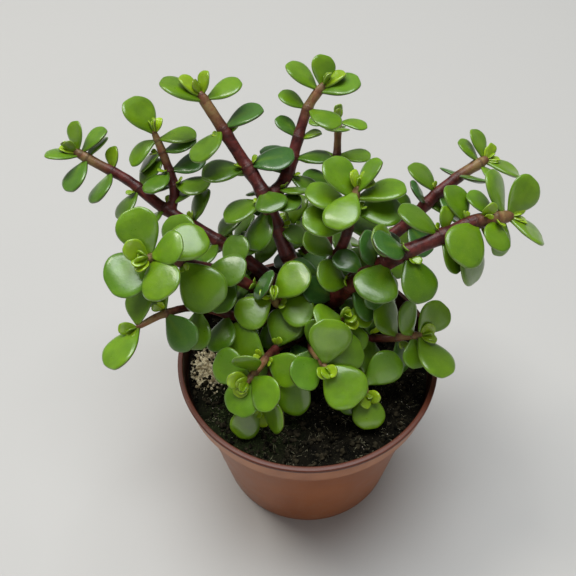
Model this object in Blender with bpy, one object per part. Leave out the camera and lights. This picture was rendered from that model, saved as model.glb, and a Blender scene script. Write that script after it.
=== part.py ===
"""A potted elephant bush (Portulacaria afra): a nursery pot, its soil, a forked trunk and leafy stems.

Metres, +Z up. The origin is the middle of the pot's underside. -Y is the front.
Named sizes, stem routes and leaf lengths are written in millimetres.
"""

import math
import random

import bmesh
import bpy
import numpy as np
from mathutils import Matrix, Vector

MM = 0.001
WELD = 0.01
SHARP_ANGLE = 40
CUT_PAST = 2.0

# The pot.
RIM_DIAMETER = 105.0
POT_HEIGHT = 76.0
FOOT_DIAMETER = 80.0
WALL = 1.3
FLOOR = 1.6
LIP_OVERHANG = 0.8
LIP_WIDTH = 2.1
LIP_THICKNESS = 1.6
LIP_ROUNDING = 0.3
BAND_HEIGHT = 8.8
BAND_DRAFT = 0.6
SHOULDER_STEP = 3.2
SHOULDER_DROP = 2.2
FOOT_ROUNDING = 1.5
FOOT_BULGE = 0.3
DRAIN_HOLES = 8
DRAIN_DIAMETER = 7.0
DRAIN_SIDES = 12
DRAIN_CIRCLE_DIAMETER = 62.0
POT_SIDES = 48

# The soil.
SOIL_BELOW_RIM = 7.5
SOIL_ROUGHNESS = 0.9
SOIL_SIDES = 28
SOIL_RINGS = 5
FIT_GAP = 0.4
TRUNK_HOLE_GAP = 0.6
TRUNK_HOLE_SIDES = 16
SOIL_SEED = 3

# The stems.
STEM_SIDES = 6
CURVE_STEPS = 24
ROUTE_SPACING = 1.0
RING_SPACING = 8.0
RING_APART = 2.5
JOINT_SWELL = 1.14
SWELL_REACH = 3.0
COLLAR_LENGTH = 8.5
COLLAR_GAP = 0.3
SEAT_DEPTH = 0.6

# The leaves. Shares are of a leaf's length, but LEAF_ROOT_SHARE is of its stem's radius.
LEAF_SIDES = ((9.0, 6), (13.0, 8), (math.inf, 10))
LEAF_WIDTH_SHARE = 0.86
LEAF_SKEW = 1.3
LEAF_FULLNESS = 0.8
LEAF_THICKNESS_SHARE = 0.15
LEAF_MIDDLE = 0.56
LEAF_FOOT = 1.1
LEAF_ARCH_SHARE = 0.07
LEAF_CUP_SHARE = 0.05
LEAF_ROOT_SHARE = 0.4
LEAF_REACH_SHARE = 0.55
LEAF_SEED = 7
LEAF_UNEVENNESS = 5.0

# How leaves are kept clear. LEAF_GAP is to other stems' leaves, and TWIN_GAP to those of the same one.
LEAF_GAP = 0.5
TWIN_GAP = 0.05
POT_GAP = 0.6
RIM_REACH = 2.5
FREE_FOOT_SHARE = 0.3
NARROWEST = 0.05
SAMPLED_LENGTH = (0.2, 0.99)
SAMPLES_ALONG = 12
SAMPLES_ACROSS = 9
BEND_STEPS = (10, 20, 30, 40)
BEND_WAYS = 8
SHRINK_STEPS = (1.0, 0.88, 0.76)
VIEW = Vector((0.0, -0.67, 0.74)).normalized()
LIGHT = Vector((-0.1, -0.3, 0.95)).normalized()
LIGHT_PULL = 1.5

# The trunk's route from its buried foot to the fork, and its thickness at both ends.
TRUNK = {
    "route": [(5.5, 14.5, 36), (5.5, 14.5, 52), (5.5, 14.5, 69), (4.5, 15, 78), (1.5, 17, 89),
              (-4, 20.5, 102)],
    "thick": (8.0, 5.4),
}

# Each leafy stem is a main shoot that starts in the trunk, and the side shoots fused to it. A shoot has its
# route to the tip, its thickness at both ends, and its joints. A side shoot starts on the main one, at the
# given distance along it. A joint is its distance from the tip and its two leaves, each with its length, its
# turn about the shoot (0 is towards the front, 90 to the right of the way it grows) and how far it opens from
# the shoot. Where only one leaf is given, the other is alike and opposite.
LEAFY_STEMS = {
    "leafy_stem_back_left": [
        {
            "route": [(-3.2, 20, 100), (-7, 23.5, 109), (-12, 30, 122), (-16.5, 38, 130), (-22, 45, 136),
                      (-31, 54, 148), (-38, 60, 158)],
            "thick": (6.5, 4.2),
            "joints": [
                (1, (6, 20, 20)),
                (1.5, (10.5, 285, 20), (9, 90, 45)),
                (3.5, (17.5, 270, 33), (15, 90, 95)),
                (16, (16.5, 90, 95), (17, 300, 110)),
                (18.5, (7.5, 270, 60)),
                (33, (17.5, 270, 60), (18, 80, 110)),
                (35.5, (9, 60, 30)),
                (44, (14.5, 5, 140), (14, 180, 120)),
                (48, (17, 270, 84), (13.5, 60, 116)),
                (50.5, (17.5, 290, 140), (12, 110, 70)),
                (58, (12, 80, 140), (16, 262, 60)),
                (70, (14, 90, 88), (17.5, 285, 150)),
            ],
        },
        {
            "starts_at": 31,
            "route": [(-6, 45, 130), (-2, 54, 138), (3, 63, 148.5), (9.5, 68, 155.5)],
            "thick": (5.6, 3.6),
            "joints": [
                (1, (6, 0, 20)),
                (1.5, (12, 270, 25), (10.5, 90, 5)),
                (3.5, (15.5, 270, 88), (16.5, 90, 36)),
                (11.5, (12, 270, 80), (15.5, 60, 95)),
                (23, (11, 280, 55), (9, 90, 60)),
                (31, (14.5, 85, 75), (13, 260, 80)),
                (38, (13, 95, 90), (13, 265, 80)),
                (46, (13, 60, 90)),
            ],
        },
    ],
    "leafy_stem_left": [
        {
            "route": [(1.5, 17, 89), (-11, 22, 93), (-22, 26, 101), (-36, 34, 107.5), (-56, 44, 115.5),
                      (-70, 52, 124), (-82, 57, 129), (-91.5, 60, 134)],
            "thick": (6.2, 3.9),
            "joints": [
                (1, (6, 0, 25)),
                (1.5, (12, 80, 55), (7.5, 270, 30)),
                (3, (14, 275, 30), (14, 90, 105)),
                (6, (15.5, 290, 95), (12, 110, 90)),
                (17, (15.5, 300, 90), (10, 95, 60)),
                (30, (14.5, 280, 90), (14.5, 95, 80)),
                (43, (14.5, 300, 85), (15.5, 90, 85)),
                (56, (15.5, 260, 80), (15.5, 80, 80)),
                (69, (15.5, 300, 80), (15.5, 110, 80)),
                (82, (14.5, 260, 80), (15.5, 80, 80)),
            ],
        },
        {
            "starts_at": 67,
            "route": [(-52, 50, 121), (-55, 57, 131), (-58.5, 62, 141)],
            "thick": (4.6, 2.9),
            "joints": [
                (1, (6, 60, 20)),
                (1.2, (16.5, 260, 15), (6.5, 100, 30)),
                (4, (15.5, 90, 100), (14.5, 270, 110)),
                (9, (14.5, 80, 90), (13, 250, 100)),
                (17, (15, 95, 90), (14.5, 290, 110)),
                (23, (15.5, 70, 100), (12, 250, 90)),
            ],
        },
        {
            "starts_at": 13,
            "route": [(-21, 32, 93), (-31, 44, 98)],
            "thick": (4.0, 3.0),
            "joints": [
                (1, (7.5, 40, 25)),
                (2, (14.5, 90, 65)),
                (7, (15.5, 0, 80)),
                (17, (15.5, 90, 80)),
            ],
        },
    ],
    "leafy_stem_right": [
        {
            "route": [(3.4, 15.6, 83.5), (10.5, 9.5, 95), (16.6, 6, 108), (24, 2, 120), (32, 0, 129),
                      (45, 3.5, 133), (57.8, 8, 135.6), (72, 12, 134.4)],
            "thick": (6.8, 4.5),
            "joints": [
                (1, (5.5, 270, 20)),
                (1.5, (15.5, 285, 45), (15.5, 80, 36)),
                (3.5, (16.5, 275, 100), (13, 95, 100)),
                (7, (12.5, 255, 125)),
                (12.5, (7, 300, 60)),
                (15, (19, 55, 135), (15.5, 200, 80)),
                (18.5, (20.5, 100, 95), (14.5, 265, 80)),
                (26, (9, 280, 50)),
                (28, (17, 275, 122), (13, 90, 80)),
                (41, (17.5, 85, 90), (15, 330, 124)),
                (44.5, (13, 300, 80), (11, 160, 70)),
                (49, (17.5, 20, 92), (14.5, 240, 100)),
                (53, (15, 300, 60), (13, 100, 110)),
                (61, (12.5, 275, 100)),
                (70, (14.5, 80, 90), (14.5, 280, 80)),
                (82, (14.5, 100, 90), (14.5, 280, 80)),
            ],
        },
    ],
    "leafy_stem_back_right": [
        {
            "route": [(2.5, 16.5, 86), (16, 22.5, 98), (29, 28, 106), (41, 33, 113.5), (51.5, 38, 123),
                      (63, 44, 129), (73, 49, 132)],
            "thick": (5.8, 4.3),
            "joints": [
                (1, (5.5, 270, 30)),
                (1.5, (12.5, 270, 70), (15, 90, 50)),
                (4, (11.5, 280, 100), (11, 80, 80)),
                (14, (13, 30, 75), (12, 200, 70)),
                (24.5, (15, 270, 88), (14.5, 90, 85)),
                (30, (12, 310, 60)),
                (41, (12, 280, 60), (14.5, 90, 90)),
                (54, (15.5, 270, 90), (15.5, 90, 90)),
                (66, (15.5, 300, 90), (15.5, 110, 90)),
                (78, (15.5, 270, 90), (15.5, 90, 90)),
            ],
        },
        {
            "starts_at": 18,
            "route": [(29, 22, 95), (43, 29, 99)],
            "thick": (4.0, 3.0),
            "joints": [
                (1, (7.5, 40, 25)),
                (2, (14.5, 90, 65)),
                (7, (15.5, 0, 80)),
                (17, (15.5, 90, 80)),
            ],
        },
    ],
    "leafy_stem_middle": [
        {
            "route": [(0.8, 17.3, 90.5), (8, 16, 105.5), (14, 15, 121), (17, 19, 134), (18.7, 23, 141)],
            "thick": (5.2, 3.3),
            "joints": [
                (1, (6.5, 100, 20)),
                (2.5, (14.5, 75, 25), (17.5, 325, 130)),
                (4.5, (18, 85, 62), (17, 260, 38)),
                (9, (18, 262, 68), (17.5, 85, 80)),
                (16, (17, 278, 86), (15, 110, 80)),
                (29, (14.5, 290, 72), (14.5, 90, 80)),
                (43, (14.5, 330, 80), (14.5, 150, 80)),
            ],
        },
    ],
    "leafy_stem_back": [
        {
            "route": [(3.8, 15.5, 81), (9, 36, 91), (14, 58, 102), (16.5, 76, 117), (17.4, 86, 129)],
            "thick": (5.0, 3.3),
            "joints": [
                (1, (5.5, 0, 20)),
                (2, (12.5, 90, 85)),
                (4.5, (12.5, 0, 95), (11, 180, 80)),
                (16, (14.5, 80, 90)),
                (28, (14.5, 100, 80)),
                (41, (15.5, 60, 80)),
                (54, (15.5, 110, 80)),
                (67, (15.5, 80, 80)),
            ],
        },
        {
            "starts_at": 18,
            "route": [(1, 41, 93), (-6, 50, 101)],
            "thick": (3.8, 3.0),
            "joints": [
                (1, (7.5, 30, 25)),
                (2, (14.5, 90, 65)),
                (7, (15.5, 10, 80)),
                (17, (15.5, 80, 80)),
            ],
        },
    ],
    "leafy_stem_front_left": [
        {
            "route": [(4.2, 15, 81), (-6, 11.5, 89.5), (-19, 12.5, 100), (-31, 11, 111), (-43, 7, 121),
                      (-50, 3, 127.5), (-54, -2, 133)],
            "thick": (5.2, 3.6),
            "joints": [
                (1, (6.5, 60, 15)),
                (1.5, (10, 122, 35), (14, 20, 90)),
                (3, (17.5, 105, 75), (18, 310, 65)),
                (5.5, (19, 30, 120), (19, 220, 55)),
                (16, (21, 305, 125), (16.5, 95, 80)),
                (28, (15.5, 15, 115), (14.5, 190, 80)),
                (38, (15.5, 300, 80), (15.5, 100, 80)),
                (50, (15.5, 20, 80), (14.5, 200, 80)),
            ],
        },
        {
            "starts_at": 15,
            "route": [(-11, 7, 97), (-13.5, 4, 105)],
            "thick": (4.0, 3.0),
            "joints": [
                (1, (7.5, 60, 30)),
                (2, (17.5, 90, 75), (15.5, 270, 75)),
                (7, (15.5, 200, 80), (15.5, 20, 80)),
                (15, (14.5, 110, 80)),
            ],
        },
    ],
    "leafy_stem_low_left": [
        {
            "route": [(5.0, 14.7, 76), (-8, 9, 82), (-24, 4, 92), (-40, 0, 104.5), (-51, -8, 111),
                      (-60, -15, 112)],
            "thick": (4.4, 2.6),
            "joints": [
                (1, (17.5, 270, 20), (14, 90, 125)),
                (12, (15.5, 285, 100), (13, 100, 80)),
                (26, (15.5, 280, 90), (14.5, 100, 80)),
                (39, (15.5, 300, 80), (14.5, 100, 80)),
                (52, (14.5, 270, 80), (14.5, 90, 80)),
            ],
        },
    ],
    "leafy_stem_low_front_left": [
        {
            "route": [(5.5, 14.5, 73), (-3, 2, 81), (-12.5, -8, 88), (-18, -18, 91.5), (-23, -25, 91)],
            "thick": (4.0, 2.8),
            "joints": [
                (1, (6, 220, 20)),
                (1.5, (7.5, 200, 40), (9, 60, 50)),
                (3, (15.5, 121, 75), (15.5, 290, 75)),
                (5.5, (17.5, 220, 25), (12.5, 40, 75)),
                (13, (15.5, 300, 80), (18.5, 85, 95)),
                (21, (13, 230, 95), (16, 50, 115)),
                (31, (14.5, 290, 80), (14.5, 110, 80)),
            ],
        },
        {
            "starts_at": 32,
            "route": [(-14.5, -18, 84), (-18.5, -28.5, 77.5)],
            "thick": (3.4, 2.6),
            "joints": [
                (1, (14, 85, 25), (14, 325, 80)),
                (6, (17, 295, 105), (13, 100, 85)),
                (15, (15.5, 300, 85), (14.5, 100, 90)),
            ],
        },
    ],
    "leafy_stem_low_front": [
        {
            "route": [(4.8, 14.8, 78), (3.5, 3, 84), (1.5, -8, 88), (6, -21, 93)],
            "thick": (4.0, 2.6),
            "joints": [
                (1, (6.5, 240, 20)),
                (2, (17.5, 315, 100), (18.5, 190, 50)),
                (5, (16.5, 250, 75), (15.5, 75, 80)),
                (14, (14.5, 130, 90), (13, 330, 80)),
                (23, (14.5, 60, 80), (13, 240, 80)),
            ],
        },
        {
            "starts_at": 12,
            "route": [(9, 1, 91), (14, -3, 100)],
            "thick": (3.4, 2.6),
            "joints": [
                (1, (6.5, 90, 30)),
                (1.5, (13, 330, 70), (11.5, 150, 70)),
                (5, (18.5, 250, 80), (14.5, 70, 80)),
                (13, (14.5, 280, 80)),
            ],
        },
    ],
    "leafy_stem_low_right": [
        {
            "route": [(5, 14.6, 77), (12, 7.5, 81.5), (19, 0, 85), (29, -5.5, 89.5), (43, -8.5, 95)],
            "thick": (4.2, 2.8),
            "joints": [
                (1, (6.5, 270, 20)),
                (1.5, (18.5, 75, 60), (15, 250, 40)),
                (4, (15.5, 315, 90), (12, 80, 90)),
                (10, (16.5, 300, 105), (14.5, 110, 90)),
                (20, (14.5, 280, 80), (14.5, 80, 90)),
            ],
        },
    ],
    "leafy_stem_low_front_right": [
        {
            "route": [(5.4, 14.5, 73), (11.5, 3, 76.5), (17, -9, 80.5), (21.5, -25, 81.5)],
            "thick": (3.8, 2.6),
            "joints": [
                (1, (6.5, 90, 30)),
                (1.5, (14.5, 155, 40), (14, 30, 65)),
                (4, (17, 280, 95), (13, 110, 70)),
                (14, (14.5, 60, 80), (13, 240, 80)),
                (24, (13, 120, 80), (13, 300, 80)),
            ],
        },
    ],
}


def clear_scene():
    for thing in list(bpy.data.objects):
        bpy.data.objects.remove(thing)


def new_material(name, colour, roughness):
    material = bpy.data.materials.new(name)
    material.use_nodes = True
    shader = material.node_tree.nodes["Principled BSDF"]
    shader.inputs["Base Color"].default_value = (*colour, 1.0)
    shader.inputs["Roughness"].default_value = roughness
    shader.inputs["Metallic"].default_value = 0.0
    material.diffuse_color = (*colour, 1.0)
    return material


def new_object(name, mesh, material=None):
    thing = bpy.data.objects.new(name, mesh)
    bpy.context.scene.collection.objects.link(thing)
    if material:
        mesh.materials.clear()
        mesh.materials.append(material)
    return thing


def shade(thing):
    thing.data.shade_smooth()
    thing.data.set_sharp_from_angle(angle=math.radians(SHARP_ANGLE))


def apply_boolean(thing, operation, others):
    """Join the other objects to thing, or cut them out of it, in one Boolean on their collection."""
    group = bpy.data.collections.new(f"{thing.name}_{operation.lower()}")
    for other in others:
        group.objects.link(other)
    step = thing.modifiers.new("join", "BOOLEAN")
    step.operation = operation
    step.operand_type = "COLLECTION"
    step.collection = group
    step.solver = "EXACT"
    step.material_mode = "TRANSFER"
    view = bpy.context.evaluated_depsgraph_get()
    mesh = bpy.data.meshes.new_from_object(thing.evaluated_get(view))
    thing.modifiers.remove(step)
    thing.data = mesh
    for other in others:
        bpy.data.objects.remove(other)
    bpy.data.collections.remove(group)


# Pot and soil.

def pot_outer_profile():
    """Points (radius, height) down the pot's outside, from the lip's outer edge to the foot."""
    rim = RIM_DIAMETER / 2
    band_top = rim - LIP_OVERHANG
    band_bottom = band_top - BAND_DRAFT
    band_end = POT_HEIGHT - LIP_THICKNESS - BAND_HEIGHT
    shoulder = band_bottom - SHOULDER_STEP
    foot = FOOT_DIAMETER / 2
    return [
        (rim, POT_HEIGHT - LIP_ROUNDING),
        (rim, POT_HEIGHT - LIP_THICKNESS),
        (band_top, POT_HEIGHT - LIP_THICKNESS),
        (band_bottom, band_end),
        (shoulder, band_end - SHOULDER_DROP),
        (foot + FOOT_BULGE, FOOT_ROUNDING),
        (foot - FOOT_ROUNDING / 2, 0.0),
    ]


def pot_inner_profile():
    """Points (radius, height) down the pot's inside, from under the lip to the floor.

    The lift keeps the sloping step as thick as the walls above and below it.
    """
    band, shoulder, foot = [(radius - WALL, height) for radius, height in pot_outer_profile()[3:6]]
    lift = WALL / 2
    return [(band[0], band[1] + lift), (shoulder[0], shoulder[1] + lift), (foot[0], FLOOR)]


def pot_profile():
    rim = RIM_DIAMETER / 2
    inner = pot_inner_profile()
    return [
        (rim - LIP_ROUNDING, POT_HEIGHT), *pot_outer_profile(), (0.0, 0.0), (0.0, FLOOR), *inner[::-1],
        (rim - LIP_WIDTH, POT_HEIGHT - LIP_THICKNESS - WALL), (rim - LIP_WIDTH, POT_HEIGHT),
    ]


def turned_mesh(name, profile, sides):
    """Turn a closed profile of (radius, height) points about the upright axis."""
    model = bmesh.new()
    points = [model.verts.new((radius * MM, 0, height * MM)) for radius, height in profile]
    edges = [model.edges.new((first, second)) for first, second in zip(points, points[1:] + points[:1])]
    edges = [edge for edge in edges if any(corner.co.x > 0 for corner in edge.verts)]
    bmesh.ops.spin(
        model, geom=edges, cent=(0, 0, 0), axis=(0, 0, 1), angle=math.tau, steps=sides, use_merge=True)
    bmesh.ops.remove_doubles(model, verts=model.verts, dist=WELD * MM)
    loose = [edge for edge in model.edges if not edge.link_faces]
    bmesh.ops.delete(model, geom=loose, context="EDGES")
    bmesh.ops.recalc_face_normals(model, faces=model.faces)
    mesh = bpy.data.meshes.new(name)
    model.to_mesh(mesh)
    model.free()
    return mesh


def round_bar(name, centre, radius, bottom, top, sides):
    """An upright cylinder, as a cutter."""
    model = bmesh.new()
    bmesh.ops.create_cone(
        model, cap_ends=True, segments=sides, radius1=radius * MM, radius2=radius * MM,
        depth=(top - bottom) * MM)
    mesh = bpy.data.meshes.new(name)
    model.to_mesh(mesh)
    model.free()
    bar = new_object(name, mesh)
    bar.location = Vector((centre[0], centre[1], (bottom + top) / 2)) * MM
    bar.hide_render = True
    bar.display_type = "WIRE"
    return bar


def make_pot(material):
    pot = new_object("pot", turned_mesh("pot", pot_profile(), POT_SIDES), material)
    holes = []
    for number in range(DRAIN_HOLES):
        angle = math.tau * (number + 0.5) / DRAIN_HOLES
        reach = DRAIN_CIRCLE_DIAMETER / 2
        centre = (reach * math.cos(angle), reach * math.sin(angle))
        bottom, top = -CUT_PAST, FLOOR + CUT_PAST
        holes.append(round_bar(f"hole_{number}", centre, DRAIN_DIAMETER / 2, bottom, top, DRAIN_SIDES))
    apply_boolean(pot, "DIFFERENCE", holes)
    shade(pot)
    return pot


def soil_profile():
    """The soil's outline, with the middle of its underside and of its surface on the axis."""
    top = POT_HEIGHT - SOIL_BELOW_RIM
    side = [(radius - FIT_GAP, height + FIT_GAP) for radius, height in pot_inner_profile()]
    edge = side[0][0]
    surface = [(edge * step / SOIL_RINGS, top) for step in range(SOIL_RINGS + 1)]
    return [*surface, *side, (0.0, side[-1][1])]


def make_soil(material):
    chance = random.Random(SOIL_SEED)
    mesh = turned_mesh("soil", soil_profile(), SOIL_SIDES)
    top = (POT_HEIGHT - SOIL_BELOW_RIM) * MM
    model = bmesh.new()
    model.from_mesh(mesh)
    for corner in model.verts:
        if corner.co.z > top - WELD * MM:
            corner.co.z += chance.uniform(-SOIL_ROUGHNESS, SOIL_ROUGHNESS) * MM
    bmesh.ops.triangulate(model, faces=model.faces)
    model.to_mesh(mesh)
    model.free()
    soil = new_object("soil", mesh, material)
    foot = TRUNK["route"][0]
    radius = TRUNK["thick"][0] / 2 + TRUNK_HOLE_GAP
    hole = round_bar("trunk_hole", foot, radius, foot[2] - FIT_GAP, POT_HEIGHT, TRUNK_HOLE_SIDES)
    apply_boolean(soil, "DIFFERENCE", [hole])
    shade(soil)
    return soil


# Routes, as arrays of points in millimetres.

def smooth_route(points):
    """A smooth curve through the points, read at an even spacing."""
    points = np.array(points, dtype=float)
    ends = np.vstack([2 * points[0] - points[1], points, 2 * points[-1] - points[-2]])
    steps = np.linspace(0, 1, CURVE_STEPS, endpoint=False)[:, None]
    curve = []
    for before, start, end, after in zip(ends, ends[1:], ends[2:], ends[3:]):
        curve.append(
            start
            + steps * (end - before) / 2
            + steps**2 * (2 * before - 5 * start + 4 * end - after) / 2
            + steps**3 * (3 * start - before - 3 * end + after) / 2
        )
    curve = np.vstack([*curve, points[-1:]])
    along = distances_along(curve)
    count = int(round(along[-1] / ROUTE_SPACING)) + 1
    return points_at(curve, np.linspace(0, along[-1], count))


def distances_along(route):
    return np.concatenate([[0], np.cumsum(np.linalg.norm(np.diff(route, axis=0), axis=1))])


def points_at(route, distances):
    along = distances_along(route)
    return np.stack([np.interp(distances, along, route[:, axis]) for axis in range(3)], axis=1)


def direction_at(route, distance):
    total = distances_along(route)[-1]
    ends = points_at(route, [max(distance - 1, 0), min(distance + 1, total)])
    return unit(ends[1] - ends[0])


def unit(vector):
    return vector / np.linalg.norm(vector)


# Stems.

def joint_distances(shoot, total):
    """Where the shoot's joints lie, as distances from its start."""
    return [total - joint[0] for joint in shoot["joints"]]


def shoot_radius(shoot, total, distance):
    """A shoot tapers from end to end and swells at each joint."""
    start, end = shoot["thick"]
    radius = (start + (end - start) * distance / total) / 2
    for joint in joint_distances(shoot, total):
        swell = max(0.0, 1 - abs(distance - joint) / SWELL_REACH)
        radius = max(radius, radius * (1 + (JOINT_SWELL - 1) * swell))
    return radius


def tube(name, route, distances, radii, material):
    """A stem with rings at the given distances: a curve with a round bevel and filled caps."""
    curve = bpy.data.curves.new(name, "CURVE")
    curve.dimensions = "3D"
    curve.bevel_depth = MM
    curve.bevel_resolution = STEM_SIDES // 2 - 2
    curve.use_fill_caps = True
    line = curve.splines.new("POLY")
    line.points.add(len(distances) - 1)
    for point, place, radius in zip(line.points, points_at(route, distances), radii):
        point.co = (*(place * MM), 1)
        point.radius = radius
    guide = bpy.data.objects.new(name, curve)
    bpy.context.scene.collection.objects.link(guide)
    view = bpy.context.evaluated_depsgraph_get()
    mesh = bpy.data.meshes.new_from_object(guide.evaluated_get(view))
    bpy.data.objects.remove(guide)
    model = bmesh.new()
    model.from_mesh(mesh)
    bmesh.ops.remove_doubles(model, verts=model.verts, dist=WELD * MM)
    bmesh.ops.recalc_face_normals(model, faces=model.faces)
    model.to_mesh(mesh)
    model.free()
    return new_object(name, mesh, material)


def ring_distances(start, end, joints):
    """Distances for a stem's rings: its ends, its joints, and even ones in between.

    The second ring lies close to the first, so that the stem's end is square to its route.
    """
    places = [start, start + SEAT_DEPTH]
    for joint in sorted([*joints, end]):
        if joint - places[-1] < RING_APART:
            continue
        between = int((joint - places[-1]) / RING_SPACING)
        places += list(np.linspace(places[-1], joint, between + 2)[1:])
    places[-1] = end
    return places


def shoot_routes(shoots):
    """The smooth routes of a leafy stem's shoots, the main one first."""
    main = smooth_route(shoots[0]["route"])
    routes = [main]
    for shoot in shoots[1:]:
        start = points_at(main, [shoot["starts_at"]])[0]
        routes.append(smooth_route([start, *shoot["route"]]))
    return routes


def make_shoot(name, shoot, route, start, material):
    total = distances_along(route)[-1]
    distances = ring_distances(start, total, joint_distances(shoot, total))
    radii = [shoot_radius(shoot, total, distance) for distance in distances]
    return tube(name, route, distances, radii, material)


def make_trunk(material):
    """The trunk, with the first few millimetres of each leafy stem as a collar on it."""
    route = smooth_route(TRUNK["route"])
    total = distances_along(route)[-1]
    distances = np.linspace(0, total, int(total / RING_SPACING) + 1)
    radii = np.interp(distances, [0, total], [thick / 2 for thick in TRUNK["thick"]])
    trunk = tube("trunk", route, distances, radii, material)
    collars = []
    for name, shoots in LEAFY_STEMS.items():
        shoot = shoots[0]
        branch = smooth_route(shoot["route"])
        length = distances_along(branch)[-1]
        places = [0.0, COLLAR_LENGTH - SEAT_DEPTH, COLLAR_LENGTH]
        radii = [shoot_radius(shoot, length, place) for place in places]
        collars.append(tube(f"{name}_collar", branch, places, radii, material))
    apply_boolean(trunk, "UNION", collars)
    shade(trunk)
    return trunk


# Leaves.

def half_width_share(along):
    """A leaf's half width at a share of its length: a narrow foot, widest past the middle, a round tip."""
    along = np.clip(along, 0, 1)
    return np.clip(np.sin(math.pi * along**LEAF_SKEW), 0, 1) ** LEAF_FULLNESS


def middle_height(along, across):
    """How far a leaf's middle surface lies over its flat plane: the tip bends down, the sides turn up."""
    return -LEAF_ARCH_SHARE * along**2 + LEAF_CUP_SHARE * across**2 * along


def leaf_sides(length):
    """How many corners a leaf's outline has: fewer on a small leaf."""
    return next(sides for longest, sides in LEAF_SIDES if length < longest)


def leaf_mesh(name, length, material):
    """A plump blade along +X, upper face to +Z: two low domes that meet at its rim and part at its foot."""
    sides = leaf_sides(length)
    model = bmesh.new()

    def corner(along, across, height):
        lift = middle_height(along, across) * length
        place = Vector((along * length, across * length * LEAF_WIDTH_SHARE / 2, height + lift))
        return model.verts.new(place * MM)

    rim = []
    for number in range(1, sides):
        angle = math.tau * number / sides
        along = (1 - math.cos(angle)) / 2
        rim.append(corner(along, math.copysign(half_width_share(along), math.sin(angle)), 0.0))
    feet = []
    for up in (1, -1):
        foot = corner(0.0, 0.0, up * LEAF_FOOT / 2)
        middle = corner(LEAF_MIDDLE, 0.0, up * length * LEAF_THICKNESS_SHARE / 2)
        loop = [foot, *rim, foot]
        for first, second in zip(loop, loop[1:]):
            model.faces.new((middle, first, second))
        feet.append(foot)
    model.faces.new((*feet, rim[0]))
    model.faces.new((*feet, rim[-1]))
    bmesh.ops.recalc_face_normals(model, faces=model.faces)
    mesh = bpy.data.meshes.new(name)
    model.to_mesh(mesh)
    model.free()
    mesh.materials.append(material)
    return mesh


def leaf_axes(direction, turn, opening):
    """A leaf's own axes (along it, across it, out of its upper face) on a shoot that runs in a direction."""
    view = np.array(VIEW)
    front = unit(view - direction * (view @ direction))
    side = np.cross(direction, front)
    turn = math.radians(turn)
    opening = math.radians(opening)
    outward = math.cos(turn) * front + math.sin(turn) * side
    along = math.cos(opening) * direction + math.sin(opening) * outward
    face = math.sin(opening) * direction - math.cos(opening) * outward
    light = np.array(LIGHT)
    face = unit(face + LIGHT_PULL * (light - along * (light @ along)))
    return np.stack([along, np.cross(face, along), face])


def blade_samples():
    """Shares (along, across) of a leaf's length and half width, spread over it from just past its foot."""
    samples = []
    for along in np.linspace(*SAMPLED_LENGTH, SAMPLES_ALONG):
        for across in np.linspace(-1, 1, SAMPLES_ACROSS):
            samples.append((along, across))
    return np.array(samples)


SAMPLES = blade_samples()


def half_thickness(length, along, across):
    """Half of a leaf's thickness: most in its middle, none at its outline."""
    to_end = np.abs(along - LEAF_MIDDLE) / np.where(along < LEAF_MIDDLE, LEAF_MIDDLE, 1 - LEAF_MIDDLE)
    return length * LEAF_THICKNESS_SHARE / 2 * np.clip(1 - np.maximum(np.abs(across), to_end), 0, 1)


def sample_points(root, axes, length):
    along, across = SAMPLES.T
    flat = np.stack(
        [
            along * length,
            across * half_width_share(along) * LEAF_WIDTH_SHARE * length / 2,
            middle_height(along, across * half_width_share(along)) * length,
        ],
        axis=1,
    )
    return root + flat @ axes


def distance_outside(points, root, axes, length):
    """Roughly how far points lie outside a leaf, in millimetres. It is negative inside."""
    local = (points - root) @ axes.T
    along = local[:, 0] / length
    half = LEAF_WIDTH_SHARE * length / 2
    width = half_width_share(along)
    across = local[:, 1] / half
    beside = np.maximum.reduce([-local[:, 0], local[:, 0] - length, np.abs(local[:, 1]) - width * half])
    share = np.abs(across) / np.maximum(width, NARROWEST)
    above = np.abs(local[:, 2] - middle_height(along, across) * length) - half_thickness(length, along, share)
    return np.maximum(beside, above)


def height_under(points):
    """The height of the soil or of the pot's lip under each point, or none beside the pot."""
    radius = np.hypot(points[:, 0], points[:, 1])
    rim = RIM_DIAMETER / 2
    soil = POT_HEIGHT - SOIL_BELOW_RIM + SOIL_ROUGHNESS
    over_pot = np.where(radius > rim - LIP_WIDTH - RIM_REACH, POT_HEIGHT, soil)
    return np.where(radius > rim + RIM_REACH, -np.inf, over_pot)


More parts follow.
